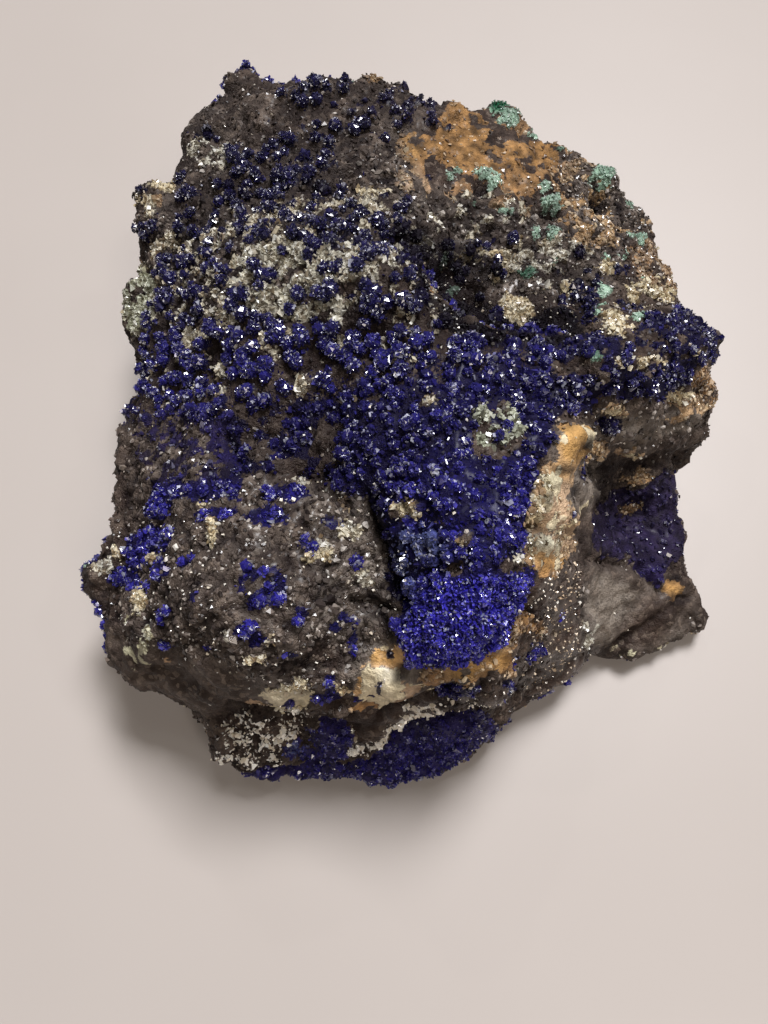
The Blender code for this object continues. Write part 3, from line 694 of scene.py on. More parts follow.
def makeRock():
    # the even copy moved out along its normals by the relief, less and less towards the foot
    rock = evenCopy("azurite_on_matrix")
    flattenFoot(rock)
    mesh = rock.data
    points, normals = readAll(mesh.vertices, "co", 3), readAll(mesh.vertex_normals, "vector", 3)
    cells = {name: scattered(points, size, salt) for name, (size, salt, height) in rockPlan.items()}
    minerals, spots = mineralsAt(points, normals, cells)
    shift, minerals["raisedTopLight"] = reliefAt(points, minerals, spots, cells)
    shift = shift * smoothStep(points[:, 2], 0.1 * mm, 1.5 * mm)
    points = points + normals * shift[:, None]
    points[:, 2] = np.maximum(points[:, 2], 0.0)
    mesh.vertices.foreach_set("co", points.ravel())
    mesh.update()
    seen, azurite, crown = [minerals[name] for name in ("seen", "azurite", "crown")]
    pale, smooth = minerals["pale"], minerals["smooth"]
    # painted shade: darker in clefts and pits, in gaps between rosettes and grains, and in the laid deep
    # shade
    paintedShade = paintedPitShadeAt(spots) * seen * (1.0 - 0.85 * pale)
    gap = minerals["gap"] * (1.0 - 0.8 * smooth) * (0.80 + 0.15 * minerals["light"])
    shade = 0.95 * minerals["between"] * np.maximum(azurite, 0.75 * crown)
    shade = np.maximum(shade, (1.0 - azurite) * gap) * (1.0 - 0.6 * pale)
    minerals["paintedShade"] = np.maximum(np.maximum(paintedShade, shade * (1.0 - 0.7 * smooth)), minerals["dark"])
    for name in ("azurite", "limonite", "pale", "malachite", "white", "greenish", "orange", "deep", "paintedShade",
                 "light", "wet", "bright", "dull", "raisedTopLight", "smooth"):
        keepAttribute(mesh, name, minerals[name])
    mesh.shade_smooth()
    print("rock faces", len(mesh.polygons), "box", points.min(axis=0), points.max(axis=0))
    onCrown = np.maximum(crown, 1.0 - seen) > 0.5
    sets = [knobsAt(points, normals, minerals, cells[name], rockPlan[name][0], wanted)
            for name, wanted in (("rosette", onCrown), ("bead", ~onCrown))]
    knobs = {key: np.concatenate([each[key] for each in sets]) for key in sets[0]}
    return rock, minerals, knobs


def knobsAt(points, normals, minerals, cell, size, wanted):
    # one ball where the surface comes nearest to each hidden point: its radius shrinks as a ball's
    # slice does with the gap
    gap, number, centre = cell
    key = np.round(centre / (0.01 * mm)).astype(np.int64)
    order = np.lexsort((gap, key[:, 2], key[:, 1], key[:, 0]))
    sortedKey = key[order]
    first = np.ones(len(order), dtype=bool)
    first[1:] = (sortedKey[1:] != sortedKey[:-1]).any(axis=1)
    chosen = order[first]
    radius = 0.50 * size * (0.72 + 0.40 * number[chosen]) * domes(gap[chosen], size, 0.62)
    facing = smoothStep(minerals["facing"][chosen], 0.15, 0.60)
    radius *= (1.0 - 0.45 * minerals["dull"][chosen]) * (0.50 + 0.50 * facing)
    radius *= 1.0 - 0.42 * smoothStep(minerals["bright"][chosen], 0.55, 0.85)
    good = wanted[chosen] & (minerals["azurite"][chosen] > 0.5)
    good &= (radius > 0.14 * size) & (points[chosen, 2] > 2.0 * mm)
    chosen, radius = chosen[good], radius[good]
    return {"place": points[chosen] + normals[chosen] * radius[:, None] * 0.12, "normal": normals[chosen],
            "radius": radius, "vertex": chosen}


rock, minerals, knobs = makeRock()
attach(rock, "root")
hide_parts("azurite_on_matrix")


# crystals: one small closed shape carried to every place it grows
def wedgeCrystal():
    # a four-sided ring closing to a short ridge: a blade with a chisel tip, closed below
    corners = np.array([(-0.46, -0.46, -0.5), (0.46, -0.46, -0.5), (0.46, 0.46, -0.5), (-0.46, 0.46, -0.5),
                        (-0.30, 0.0, 0.46), (0.32, 0.07, 0.50)])
    faces = [(0, 2, 1), (0, 3, 2), (0, 1, 5), (0, 5, 4), (1, 2, 5), (2, 3, 4), (2, 4, 5), (3, 0, 4)]
    return corners, np.array(faces)


def grainShape():
    # two five-sided cones on one uneven ring: an angular grain
    turn = np.arange(5) * 2 * np.pi / 5
    ring = np.column_stack([0.5 * np.cos(turn), 0.5 * np.sin(turn), 0.12 * np.cos(2 * turn)])
    corners = np.vstack([[(0.0, 0.0, -0.5)], ring, [(0.10, 0.05, 0.5)]])
    faces = []
    for k in range(5):
        after = 1 + (k + 1) % 5
        faces += [(0, after, 1 + k), (6, 1 + k, after)]
    return corners, np.array(faces)


def ballShape(around, rings):
    # two poles with rings between them, each ring turned half a step past the one below
    turn = np.arange(around) * 2 * np.pi / around
    corners = [(0.0, 0.0, -0.5)]
    for k in range(rings):
        lean = np.pi * (k + 1) / (rings + 1)
        angle = turn + k * np.pi / around
        ring = np.column_stack([np.cos(angle), np.sin(angle), np.zeros(around)]) * 0.5 * np.sin(lean)
        corners += [tuple(corner) for corner in ring - [0.0, 0.0, 0.5 * np.cos(lean)]]
    corners.append((0.0, 0.0, 0.5))
    top = len(corners) - 1
    faces = []
    for k in range(around):
        after = (k + 1) % around
        faces += [(0, 1 + after, 1 + k), (top, top - around + k, top - around + after)]
        for ring in range(rings - 1):
            low = 1 + ring * around
            faces += [(low + k, low + after, low + around + k),
                      (low + after, low + around + after, low + around + k)]
    return np.array(corners), np.array(faces)


def pickFaces(weight, count, chance):
    # picks places in proportion to weight, evenly spread by one sweep over the running sum
    running = np.cumsum(weight)
    marks = (np.arange(count) + chance.random(count)) / count * running[-1]
    return np.searchsorted(running, marks)


def sidesOf(axes):
    # two directions square to each axis and to each other
    helper = np.where(np.abs(axes[:, 2:3]) < 0.9, [[0.0, 0.0, 1.0]], [[1.0, 0.0, 0.0]])
    side = np.cross(axes, helper)
    side /= np.linalg.norm(side, axis=1)[:, None]
    return side, np.cross(axes, side)


def cellMap(mesh, count, faceCount):
    # one square cell of the map for each crystal, split into a column for each of its faces
    across = int(math.ceil(math.sqrt(count)))
    cell = np.arange(count)
    low = np.stack([cell % across, cell // across], axis=1) / across
    step = 1.0 / across
    share = np.arange(faceCount) / faceCount
    wide = 1.0 / faceCount
    uv = np.empty((count, faceCount, 3, 2))
    for corner, (right, up) in enumerate(((0.1, 0.1), (0.9, 0.1), (0.5, 0.9))):
        spot = np.stack([share + right * wide, np.full(faceCount, up)], axis=1)
        uv[:, :, corner] = low[:, None] + step * spot
    layer = mesh.uv_layers.new(name="OFBake")
    layer.data.foreach_set("uv", uv.reshape(-1))


def carry(name, shape, places, axes, sizes, chance, tones, uneven=0.22):
    # each copy: the shape's corners times a turned, stretched frame, moved to its place
    corners, faces = shape
    count = len(places)
    spin = chance.random(count) * 2 * np.pi
    side, other = sidesOf(axes)
    first = side * np.cos(spin)[:, None] + other * np.sin(spin)[:, None]
    second = np.cross(axes, first)
    local = corners[None] * (1.0 + uneven * (chance.random((count, len(corners), 3)) - 0.5) * 2)
    made = (local[:, :, 0:1] * (first * sizes[:, 0:1])[:, None]
            + local[:, :, 1:2] * (second * sizes[:, 1:2])[:, None]
            + local[:, :, 2:3] * (axes * sizes[:, 2:3])[:, None] + places[:, None])
    made[:, :, 2] = np.maximum(made[:, :, 2], 0.0)
    index = (faces[None] + (np.arange(count) * len(corners))[:, None, None]).reshape(-1)
    mesh = bpy.data.meshes.new(name)
    mesh.vertices.add(count * len(corners))
    mesh.vertices.foreach_set("co", made.reshape(-1))
    mesh.loops.add(len(index))
    mesh.loops.foreach_set("vertex_index", index.astype(np.int32))
    mesh.polygons.add(count * len(faces))
    mesh.polygons.foreach_set("loop_start", np.arange(0, len(index), 3, dtype=np.int32))
    mesh.update(calc_edges=True)
    mesh.shade_flat()
    for label, values in tones.items():
        keepAttribute(mesh, label, np.repeat(values, len(corners)))
    # root: 1 at each copy's foot and 0 at its top; the shaders darken the foot with it as painted shade
    keepAttribute(mesh, "root", np.tile(0.5 - corners[:, 2], count))
    cellMap(mesh, count, len(faces))
    thing = bpy.data.objects.new(name, mesh)
    bpy.context.collection.objects.link(thing)
    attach(thing, "root")
    print(name, "crystals", count, "triangles", len(mesh.polygons))
    return thing


azuriteLabels = ("bright", "dull", "steel", "paintedShade")


def makeKnobs():
    # azurite balls under the crystals
    chance = np.random.default_rng(100)
    count = len(knobs["radius"])
    sizes = 2.0 * knobs["radius"][:, None] * (1.0 + 0.14 * chance.normal(size=(count, 3)))
    tones = {"tone": chance.random(count) * 0.5}
    for label in azuriteLabels:
        tones[label] = minerals[label][knobs["vertex"]]
    return carry("azuriteKnobs", ballShape(8, 3), knobs["place"], knobs["normal"], sizes, chance, tones,
                 uneven=0.16)


def knobSkin(each=40):
    # points spread over every knob by turning the golden angle from pole to pole
    step = (np.arange(each) + 0.5) / each
    height = 1.0 - 1.25 * step
    turn = np.arange(each) * np.pi * (3.0 - np.sqrt(5.0))
    across = np.sqrt(1.0 - height ** 2)
    local = np.column_stack([across * np.cos(turn), across * np.sin(turn), height])
    axis = knobs["normal"]
    side, other = sidesOf(axis)
    way = (local[None, :, 0:1] * side[:, None] + local[None, :, 1:2] * other[:, None]
           + local[None, :, 2:3] * axis[:, None])
    places = knobs["place"][:, None] + way * knobs["radius"][:, None, None] * 0.97
    area = np.repeat(2.5 * np.pi * knobs["radius"] ** 2 / each, each)
    return places.reshape(-1, 3), area, way.reshape(-1, 3), np.repeat(knobs["vertex"], each)


# places to grow on: the middle of each rock face, then the points of the knobs' skin
rockFaces = rock.data.polygons
firstCorner = readAll(rockFaces, "loop_start", kind=np.int64)
cornerCount = readAll(rockFaces, "loop_total", kind=np.int64)
cornerVertex = readAll(rock.data.loops, "vertex_index", kind=np.int64)
share = {name: np.add.reduceat(values[cornerVertex], firstCorner) / cornerCount
         for name, values in minerals.items()}
softNormal = np.add.reduceat(readAll(rock.data.vertex_normals, "vector", 3)[cornerVertex], firstCorner)
softNormal /= np.linalg.norm(softNormal, axis=1)[:, None]
skinPlace, skinArea, skinNormal, skinVertex = knobSkin()
onKnob = np.concatenate([np.zeros(len(rockFaces)), np.ones(len(skinPlace))])
share = {name: np.concatenate([values, minerals[name][skinVertex]]) for name, values in share.items()}
centre = np.concatenate([readAll(rockFaces, "center", 3), skinPlace])
area = np.concatenate([readAll(rockFaces, "area"), skinArea])
softNormal = np.concatenate([softNormal, skinNormal])
offFoot = (centre[:, 2] > 1.2 * mm).astype(float)
knobThing = makeKnobs()


def grow(name, shape, weight, count, sizes, seed, tilt, sink, labels, swell=None):
    # picks places by weight, leans each axis off the surface, and varies sizes around their mean
    chance = np.random.default_rng(seed)
    picked = pickFaces(np.clip(weight, 0.0, None) * area * offFoot + 1e-14, count, chance)
    jitter = (chance.random((count, 3)) - 0.5) * (0.5 - 0.3 * onKnob[picked])[:, None] * mm
    places = centre[picked] + jitter
    axes = softNormal[picked] + tilt * chance.normal(size=(count, 3)) * 0.6
    axes /= np.linalg.norm(axes, axis=1)[:, None]
    growth = np.exp(chance.normal(size=(count, 1)) * 0.28)
    size = np.abs(np.array(sizes)[None] * mm * growth * (1.0 + 0.2 * chance.normal(size=(count, 3))))
    if swell is not None:
        size *= swell[picked][:, None]
    places = places - axes * size[:, 2:3] * sink
    tones = {"tone": chance.random(count)}
    for label in labels:
        tones[label] = share[label][picked]
    return carry(name, shape, places, axes, size, chance, tones)


onRock = 1.0 - onKnob
bare = onRock * (1.0 - share["azurite"] - share["pale"] - share["limonite"] - share["malachite"])
facing = onRock * (0.25 + 0.75 * share["seen"]) * (1.0 - 0.75 * share["paintedShade"])
skin = 0.25 + 0.75 * onKnob
coarse = np.clip(1.0 - 1.5 * share["smooth"], 0.0, 1.0)
crystalPlan = {     # sizes are millimetres across, along and high
    "azuriteCrown": dict(shape=wedgeCrystal(), count=24000, sizes=(0.27, 0.23, 0.34), seed=101, tilt=0.45,
                         sink=0.10, labels=azuriteLabels,
                         weight=skin * share["azurite"] * share["crown"] * share["seen"]),
    "azuriteField": dict(shape=wedgeCrystal(), count=23500, sizes=(0.30, 0.25, 0.34), seed=102, tilt=0.55,
                         sink=0.10, labels=azuriteLabels,
                         weight=skin * share["azurite"] * (1.0 - share["crown"]) * share["seen"]
                         * (1.0 - 0.93 * share["dull"]), swell=1.0 - 0.3 * share["dull"]),
    "azuriteBright": dict(shape=wedgeCrystal(), count=6000, sizes=(0.27, 0.23, 0.32), seed=109, tilt=0.6,
                          sink=0.05, labels=azuriteLabels,
                          weight=share["azurite"] * smoothStep(share["bright"], 0.5, 0.8) * share["seen"]
                          * (1.0 - share["dull"])),
    "azuriteSkirt": dict(shape=wedgeCrystal(), count=12000, sizes=(0.46, 0.38, 0.52), seed=103, tilt=0.7,
                         sink=0.10, labels=azuriteLabels,
                         weight=skin * share["azurite"] * (1.0 - share["seen"] * 0.95)),
    "rockGrains": dict(shape=grainShape(), count=12000, sizes=(0.62, 0.52, 0.36), seed=104, tilt=0.5,
                       sink=0.12, labels=("light", "wet", "paintedShade"),
                       weight=bare * facing * coarse * (0.4 + 0.6 * share["light"]),
                       swell=0.75 + 0.5 * share["light"]),
    "paleCrystals": dict(shape=wedgeCrystal(), count=10000, sizes=(0.46, 0.40, 0.42), seed=105, tilt=0.8,
                         sink=0.05, labels=("white", "greenish", "paintedShade"),
                         weight=share["pale"] * facing * coarse),
    "limoniteGrains": dict(shape=grainShape(), count=4000, sizes=(0.62, 0.52, 0.34), seed=106, tilt=0.5,
                           sink=0.12, labels=("orange", "light", "paintedShade"),
                           weight=share["limonite"] * facing * coarse),
    "malachiteTufts": dict(shape=grainShape(), count=2000, sizes=(0.40, 0.36, 0.30), seed=107, tilt=0.5,
                           sink=0.12, labels=("deep", "paintedShade"), weight=share["malachite"] * onRock),
    # clear crystals: their bright white colour is partly painted glint
    "clearCrystals": dict(shape=wedgeCrystal(), count=3000, sizes=(0.58, 0.50, 0.46), seed=108, tilt=0.5,
                          sink=0.0, labels=("orange", "paintedShade"),
                          weight=share["glitter"] * (1.0 - 0.9 * share["azurite"]) * onRock
                          + 0.006 * share["seen"] * (1.0 - share["dull"]) * (1.0 - share["smooth"]),
                          swell=0.45 + 0.55 * smoothStep(share["glitter"], 0.21, 0.40)),
}
thin = 1.0
grown = {}
for name, plan in crystalPlan.items():
    plan["count"] = int(plan["count"] * thin)
    grown[name] = grow(name, **plan)


# materials
def fill(tree, socket, value):
    # links an output to a socket, or sets the socket's own value; a colour gets its fourth number
    if isinstance(value, bpy.types.NodeSocket):
        tree.links.new(value, socket)
    elif isinstance(value, tuple) and len(value) == 3:
        socket.default_value = (*value, 1.0)
    else:
        socket.default_value = value


def put(tree, kind, settings=None, **inputs):
    # adds a node, sets its options, and fills or links its inputs by name
    node = tree.nodes.new(kind)
    for key, value in (settings or {}).items():
        setattr(node, key, value)
    for name, value in inputs.items():
        fill(tree, node.inputs[name.replace("_", " ")], value)
    return node


def blendOf(tree, share, first, second):
    # first colour towards second by share, held between 0 and 1
    node = put(tree, "ShaderNodeMix", {"data_type": "RGBA", "blend_type": "MIX", "clamp_factor": True})
    for number, value in ((0, share), (6, first), (7, second)):     # 6 and 7 are the colour inputs
        fill(tree, node.inputs[number], value)
    return node.outputs[2]


def mathOf(tree, operation, *values):
    # one step of arithmetic on two or three numbers
    node = put(tree, "ShaderNodeMath", {"operation": operation})
    for socket, value in zip(node.inputs, values):
        fill(tree, socket, value)
    return node.outputs[0]


def times(tree, first, second):
    # first times second
    return mathOf(tree, "MULTIPLY", first, second)


def spread(tree, value, low, high, newLow=0.0, newHigh=1.0):
    # moves a value's range to another, held at both ends
    node = put(tree, "ShaderNodeMapRange", {"clamp": True}, Value=value, From_Min=low, From_Max=high,
               To_Min=newLow, To_Max=newHigh)
    return node.outputs[0]


def kept(tree, name):
    # a number kept on the mesh by the code above
    return put(tree, "ShaderNodeAttribute", {"attribute_name": name}).outputs["Fac"]


def ramp(tree, value, stops):
    # a colour read off a row of stops, blended in straight lines between them
    node = put(tree, "ShaderNodeValToRGB", None, Fac=value)
    ends = node.color_ramp.elements
    for end, (place, colour) in zip(ends, (stops[0], stops[-1])):
        end.position, end.color = place, (*colour, 1.0)
    for place, colour in stops[1:-1]:
        ends.new(place).color = (*colour, 1.0)
    return node.outputs["Color"]


def grainGroup():
    # soft noise, sharper speckle and a fine bump height at one size, in Object coordinates
    group = bpy.data.node_groups.new("mineralGrain", "ShaderNodeTree")
    size = group.interface.new_socket("Size", in_out="INPUT", socket_type="NodeSocketFloat")
    size.default_value = 1000.0
    for name in ("Cloud", "Speckle", "Height"):
        group.interface.new_socket(name, in_out="OUTPUT", socket_type="NodeSocketFloat")
    start = group.nodes.new("NodeGroupInput").outputs["Size"]
    end = group.nodes.new("NodeGroupOutput")
    place = put(group, "ShaderNodeTexCoord").outputs["Object"]
    cloud = put(group, "ShaderNodeTexNoise", None, Vector=place, Scale=start, Detail=4.0, Roughness=0.6)
    cell = put(group, "ShaderNodeTexVoronoi", None, Vector=place, Scale=times(group, start, 2.7),
               Randomness=1.0)
    number = put(group, "ShaderNodeSeparateColor", None, Color=cell.outputs["Color"]).outputs[0]
    finest = put(group, "ShaderNodeTexNoise", None, Vector=place, Scale=times(group, start, 4.0),
                 Detail=2.0, Roughness=0.6).outputs[0]
    height = mathOf(group, "ADD", times(group, finest, 0.6), times(group, cell.outputs["Distance"], -0.4))
    made = {"Cloud": spread(group, cloud.outputs[0], 0.35, 0.65), "Speckle": number, "Height": height}
    for name, value in made.items():
        group.links.new(value, end.inputs[name])
    return group


def shadeAndDustGroup():
    # darkens a colour in hollows and towards crystal roots as painted shade, and lightens its upward places
    # in patches with pale dust that is partly painted top light
    group = bpy.data.node_groups.new("hollowAndDust", "ShaderNodeTree")
    for name, kind, value in (("Color", "NodeSocketColor", (0.5, 0.5, 0.5, 1.0)),
                              ("Dust", "NodeSocketFloat", 0.1), ("Hollow", "NodeSocketFloat", 0.8),
                              ("Root", "NodeSocketFloat", 0.62)):
        group.interface.new_socket(name, in_out="INPUT", socket_type=kind).default_value = value
    group.interface.new_socket("Color", in_out="OUTPUT", socket_type="NodeSocketColor")
    start = group.nodes.new("NodeGroupInput").outputs
    end = group.nodes.new("NodeGroupOutput")
    place = put(group, "ShaderNodeTexCoord").outputs["Object"]
    normal = put(group, "ShaderNodeNewGeometry").outputs["Normal"]
    upward = put(group, "ShaderNodeSeparateXYZ", None, Vector=normal).outputs["Z"]
    patch = put(group, "ShaderNodeTexNoise", None, Vector=place, Scale=420.0, Detail=3.0).outputs[0]
    # upward places lighter in patches: pale dust, partly painted top light
    dustAndTopLight = times(group, spread(group, upward, 0.2, 1.0), spread(group, patch, 0.42, 0.66))
    dustedAndTopLit = blendOf(group, times(group, dustAndTopLight, start["Dust"]), start["Color"], (0.34, 0.29, 0.26))
    depth = mathOf(group, "MAXIMUM", times(group, kept(group, "paintedShade"), start["Hollow"]),
                   times(group, kept(group, "root"), start["Root"]))
    group.links.new(blendOf(group, depth, dustedAndTopLit, (0.006, 0.004, 0.006)), end.inputs["Color"])
    return group


grain = grainGroup()
shadeAndDust = shadeAndDustGroup()


def placeGroup(tree, group, **inputs):
    # adds a node group and fills or links its inputs
    return put(tree, "ShaderNodeGroup", {"node_tree": group}, **inputs)


def startMaterial(name, ior, gloss=0.15):
    # a material with its main shader: how strongly it reflects, and how rough its clear coat is
    material = bpy.data.materials.new(name)
    material.use_nodes = True
    tree = material.node_tree
    shader = tree.nodes["Principled BSDF"]
    for key, value in (("IOR", ior), ("Coat Roughness", gloss), ("Coat IOR", 1.8)):
        shader.inputs[key].default_value = value
    return material, tree, shader


def finishMaterial(tree, shader, colour, roughness, shine, bump, strength, distance, dustAndTopLight=0.0, paintedShade=1.0,
                   root=0.62):
    # paints shade and dust into the colour, and links it with the roughness, the clear coat and the bump
    shadedColour = placeGroup(tree, shadeAndDust, Color=colour, Dust=dustAndTopLight, Hollow=paintedShade, Root=root)
    relief = put(tree, "ShaderNodeBump", None, Strength=strength, Distance=distance, Height=bump)
    # only what stands out of the painted shade is glossy
    coat = times(tree, spread(tree, kept(tree, "paintedShade"), 0.6, 0.1), shine)
    for key, value in (("Base Color", shadedColour.outputs["Color"]), ("Roughness", roughness),
                       ("Coat Weight", coat), ("Normal", relief.outputs["Normal"])):
        tree.links.new(value, shader.inputs[key])


def sharpened(tree, amount, speckle):
    # a mineral's edge broken up by fine speckle: amount plus half of (speckle - 0.5)
    shifted = mathOf(tree, "MULTIPLY_ADD", mathOf(tree, "SUBTRACT", speckle, 0.5), 0.5, amount)
    return spread(tree, shifted, 0.35, 0.65)


def toned(tree, noise, colour, low=0.45):
    # a colour by noise, from low times itself to 1.2 times itself
    return blendOf(tree, noise, tuple(low * part for part in colour), tuple(1.2 * part for part in colour))


def rockMaterial():
    # bare ground from brown to grey, with limonite, chalk, azurite and malachite laid over it
    material, tree, shader = startMaterial("rockMatrix", 1.2, 0.28)
    broad, middle, fine = [placeGroup(tree, grain, Size=size).outputs for size in (160.0, 600.0, 1500.0)]
    cloud, speckle = middle["Cloud"], fine["Speckle"]
    brown = ramp(tree, broad["Cloud"], [(0.0, (0.024, 0.014, 0.011)), (0.5, (0.062, 0.039, 0.030)),
                                        (1.0, (0.118, 0.078, 0.060))])
    grey = ramp(tree, broad["Cloud"], [(0.0, (0.050, 0.038, 0.031)), (0.5, (0.135, 0.110, 0.093)),
                                       (1.0, (0.27, 0.235, 0.205))])
    ground = blendOf(tree, kept(tree, "light"), brown, grey)
    satinHighlight = toned(tree, cloud, (0.62, 0.53, 0.44), 0.22)
    for amount, colour in (
            # painted top light: raised grains and knobs lighter
            (times(tree, kept(tree, "raisedTopLight"), 0.45), (0.22, 0.17, 0.137)),
            # painted highlight: a pale satin where the rock is lightest
            (spread(tree, kept(tree, "light"), 0.8, 1.0, 0.0, 0.55), satinHighlight),
            (times(tree, cloud, 0.55), (0.030, 0.020, 0.016)),
            (spread(tree, middle["Speckle"], 0.78, 0.90, 0.0, 0.5), (0.22, 0.17, 0.135)),
            (spread(tree, speckle, 0.25, 0.05, 0.0, 0.4), (0.018, 0.012, 0.010))):
        ground = blendOf(tree, amount, ground, colour)
    rust = blendOf(tree, kept(tree, "orange"), toned(tree, cloud, (0.52, 0.38, 0.27), 0.6),
                   toned(tree, cloud, (0.66, 0.37, 0.11), 0.5))
    rust = blendOf(tree, spread(tree, kept(tree, "light"), 0.8, 0.3, 0.0, 0.75), rust,
                   toned(tree, cloud, (0.36, 0.185, 0.070), 0.25))
    chalk = blendOf(tree, kept(tree, "white"), toned(tree, cloud, (0.76, 0.65, 0.44), 0.7),
                    toned(tree, cloud, (0.72, 0.71, 0.64), 0.5))
    chalk = blendOf(tree, kept(tree, "greenish"), chalk, toned(tree, cloud, (0.36, 0.40, 0.29)))
    chalk = blendOf(tree, spread(tree, broad["Cloud"], 0.22, 0.0, 0.0, 0.5), chalk, (0.16, 0.12, 0.09))
    green = blendOf(tree, kept(tree, "deep"), toned(tree, cloud, (0.40, 0.58, 0.44), 0.5),
                    toned(tree, cloud, (0.010, 0.11, 0.050)))
    blue = blendOf(tree, kept(tree, "bright"), (0.003, 0.002, 0.016), (0.010, 0.008, 0.12))
    velvet = blendOf(tree, kept(tree, "bright"), toned(tree, cloud, (0.027, 0.018, 0.043)),
                     toned(tree, cloud, (0.038, 0.027, 0.19)))
    blue = blendOf(tree, kept(tree, "dull"), blue, velvet)
    for name, colour in (("limonite", rust), ("pale", chalk), ("azurite", blue), ("malachite", green)):
        ground = blendOf(tree, sharpened(tree, kept(tree, name), speckle), ground, colour)
    dry = spread(tree, speckle, 0.0, 1.0, 0.36, 0.74)
    rough = mathOf(tree, "MULTIPLY_ADD", kept(tree, "wet"), -0.30, dry)
    height = mathOf(tree, "MULTIPLY_ADD", middle["Height"], 1.6, fine["Height"])
    height = times(tree, height, spread(tree, kept(tree, "smooth"), 0.3, 1.0, 1.0, 0.35))
    shine = spread(tree, kept(tree, "wet"), 0.0, 1.0, 0.06, 0.5)
    finishMaterial(tree, shader, ground, rough, shine, height, 0.9, 0.40 * mm, dustAndTopLight=0.04)
    return material


def azuriteMaterial(name, ior, low, high):
    # navy to royal blue by tone, duller where it is dusty, with some crystals painted pale as glints
    material, tree, shader = startMaterial(name, ior, 0.12)
    tone = kept(tree, "tone")
    fine = placeGroup(tree, grain, Size=2200.0).outputs
    deep = ramp(tree, tone, [(0.0, (0.004, 0.0035, 0.018)), (0.5, (0.009, 0.0075, 0.056)),
                             (0.85, (0.026, 0.022, 0.135)), (1.0, (0.11, 0.105, 0.32))])
    royal = ramp(tree, tone, [(0.0, (0.020, 0.015, 0.30)), (0.4, (0.058, 0.046, 0.78)),
                              (0.75, (0.16, 0.14, 0.94)), (1.0, (0.15, 0.14, 0.88))])
    dusty = blendOf(tree, tone, (0.020, 0.014, 0.034), (0.070, 0.055, 0.105))
    dusty = blendOf(tree, kept(tree, "bright"), dusty, (0.040, 0.028, 0.22))
    paintedGlint = blendOf(tree, kept(tree, "bright"), (0.60, 0.60, 0.72), (0.54, 0.58, 0.97))
    plain = mathOf(tree, "SUBTRACT", 1.0, kept(tree, "dull"))
    blue = blendOf(tree, kept(tree, "bright"), deep, royal)
    for amount, colour in (
            (times(tree, kept(tree, "dull"), 0.85), dusty),
            (times(tree, kept(tree, "steel"), 0.75), (0.19, 0.24, 0.46)),
            # painted glints: some crystals pale, the brightest few near white
            (times(tree, spread(tree, tone, 0.86, 0.91), plain), paintedGlint),
            (times(tree, spread(tree, tone, 0.970, 0.975), plain), (0.66, 0.68, 0.82)),
            (times(tree, fine["Cloud"], 0.5), (0.003, 0.002, 0.018))):
        blue = blendOf(tree, amount, blue, colour)
    rough = spread(tree, fine["Cloud"], 0.0, 1.0, low, high)
    finishMaterial(tree, shader, blue, rough, 0.9, fine["Height"], 0.3, 0.12 * mm)
    return material


def grainMaterial():
    # brown to grey grains by tone, the palest few almost white as painted glints
    material, tree, shader = startMaterial("rockGrain", 1.25, 0.22)
    tone = kept(tree, "tone")
    fine = placeGroup(tree, grain, Size=1800.0).outputs
    brown = ramp(tree, tone, [(0.0, (0.014, 0.008, 0.006)), (0.4, (0.058, 0.036, 0.028)),
                              (0.75, (0.125, 0.082, 0.064)), (0.92, (0.24, 0.18, 0.14)),
                              (0.95, (0.55, 0.46, 0.38)), (1.0, (0.72, 0.66, 0.60))])
    grey = ramp(tree, tone, [(0.0, (0.026, 0.019, 0.016)), (0.4, (0.110, 0.086, 0.074)),
                             (0.75, (0.25, 0.210, 0.182)), (0.92, (0.50, 0.44, 0.39)),
                             (1.0, (0.72, 0.67, 0.62))])
    mixed = blendOf(tree, kept(tree, "light"), brown, grey)
    shade = blendOf(tree, times(tree, fine["Cloud"], 0.45), mixed, (0.025, 0.017, 0.014))
    dry = spread(tree, fine["Speckle"], 0.0, 1.0, 0.35, 0.70)
    rough = mathOf(tree, "MULTIPLY_ADD", kept(tree, "wet"), -0.22, dry)
    finishMaterial(tree, shader, shade, rough, 0.5, fine["Height"], 0.4, 0.15 * mm, dustAndTopLight=0.06)
    return material


def plainCrystal(name, ior, ramps, mixes, dirt, low, high, dustAndTopLight=0.0, paintedShade=0.95, root=0.5):
    # one ramp of tone for each colour, mixed by the kept amounts, with cloudy dirt
    material, tree, shader = startMaterial(name, ior)
    tone = kept(tree, "tone")
    fine = placeGroup(tree, grain, Size=1600.0).outputs
    colour = ramp(tree, tone, ramps[0])
    for amount, stops in zip(mixes, ramps[1:]):
        colour = blendOf(tree, kept(tree, amount), colour, ramp(tree, tone, stops))
    shade = blendOf(tree, times(tree, fine["Cloud"], 0.4), colour, dirt)
    rough = spread(tree, fine["Speckle"], 0.0, 1.0, low, high)
    finishMaterial(tree, shader, shade, rough, 0.5, fine["Height"], 0.3, 0.12 * mm, dustAndTopLight, paintedShade, root)
    return material


def paleMaterial():
    # cream crystals, white or greenish in places
    cream = [(0.0, (0.26, 0.17, 0.08)), (0.25, (0.60, 0.47, 0.27)), (0.65, (0.84, 0.74, 0.50)),
             (1.0, (0.95, 0.90, 0.76))]
    white = [(0.0, (0.05, 0.038, 0.030)), (0.25, (0.34, 0.31, 0.26)), (0.60, (0.76, 0.76, 0.68)),
             (1.0, (0.96, 0.96, 0.93))]
    green = [(0.0, (0.07, 0.08, 0.045)), (0.5, (0.38, 0.43, 0.31)), (1.0, (0.76, 0.80, 0.68))]
    return plainCrystal("paleCrystal", 1.55, [cream, white, green], ["white", "greenish"],
                        (0.10, 0.07, 0.055), 0.18, 0.5, paintedShade=0.9, root=0.3)


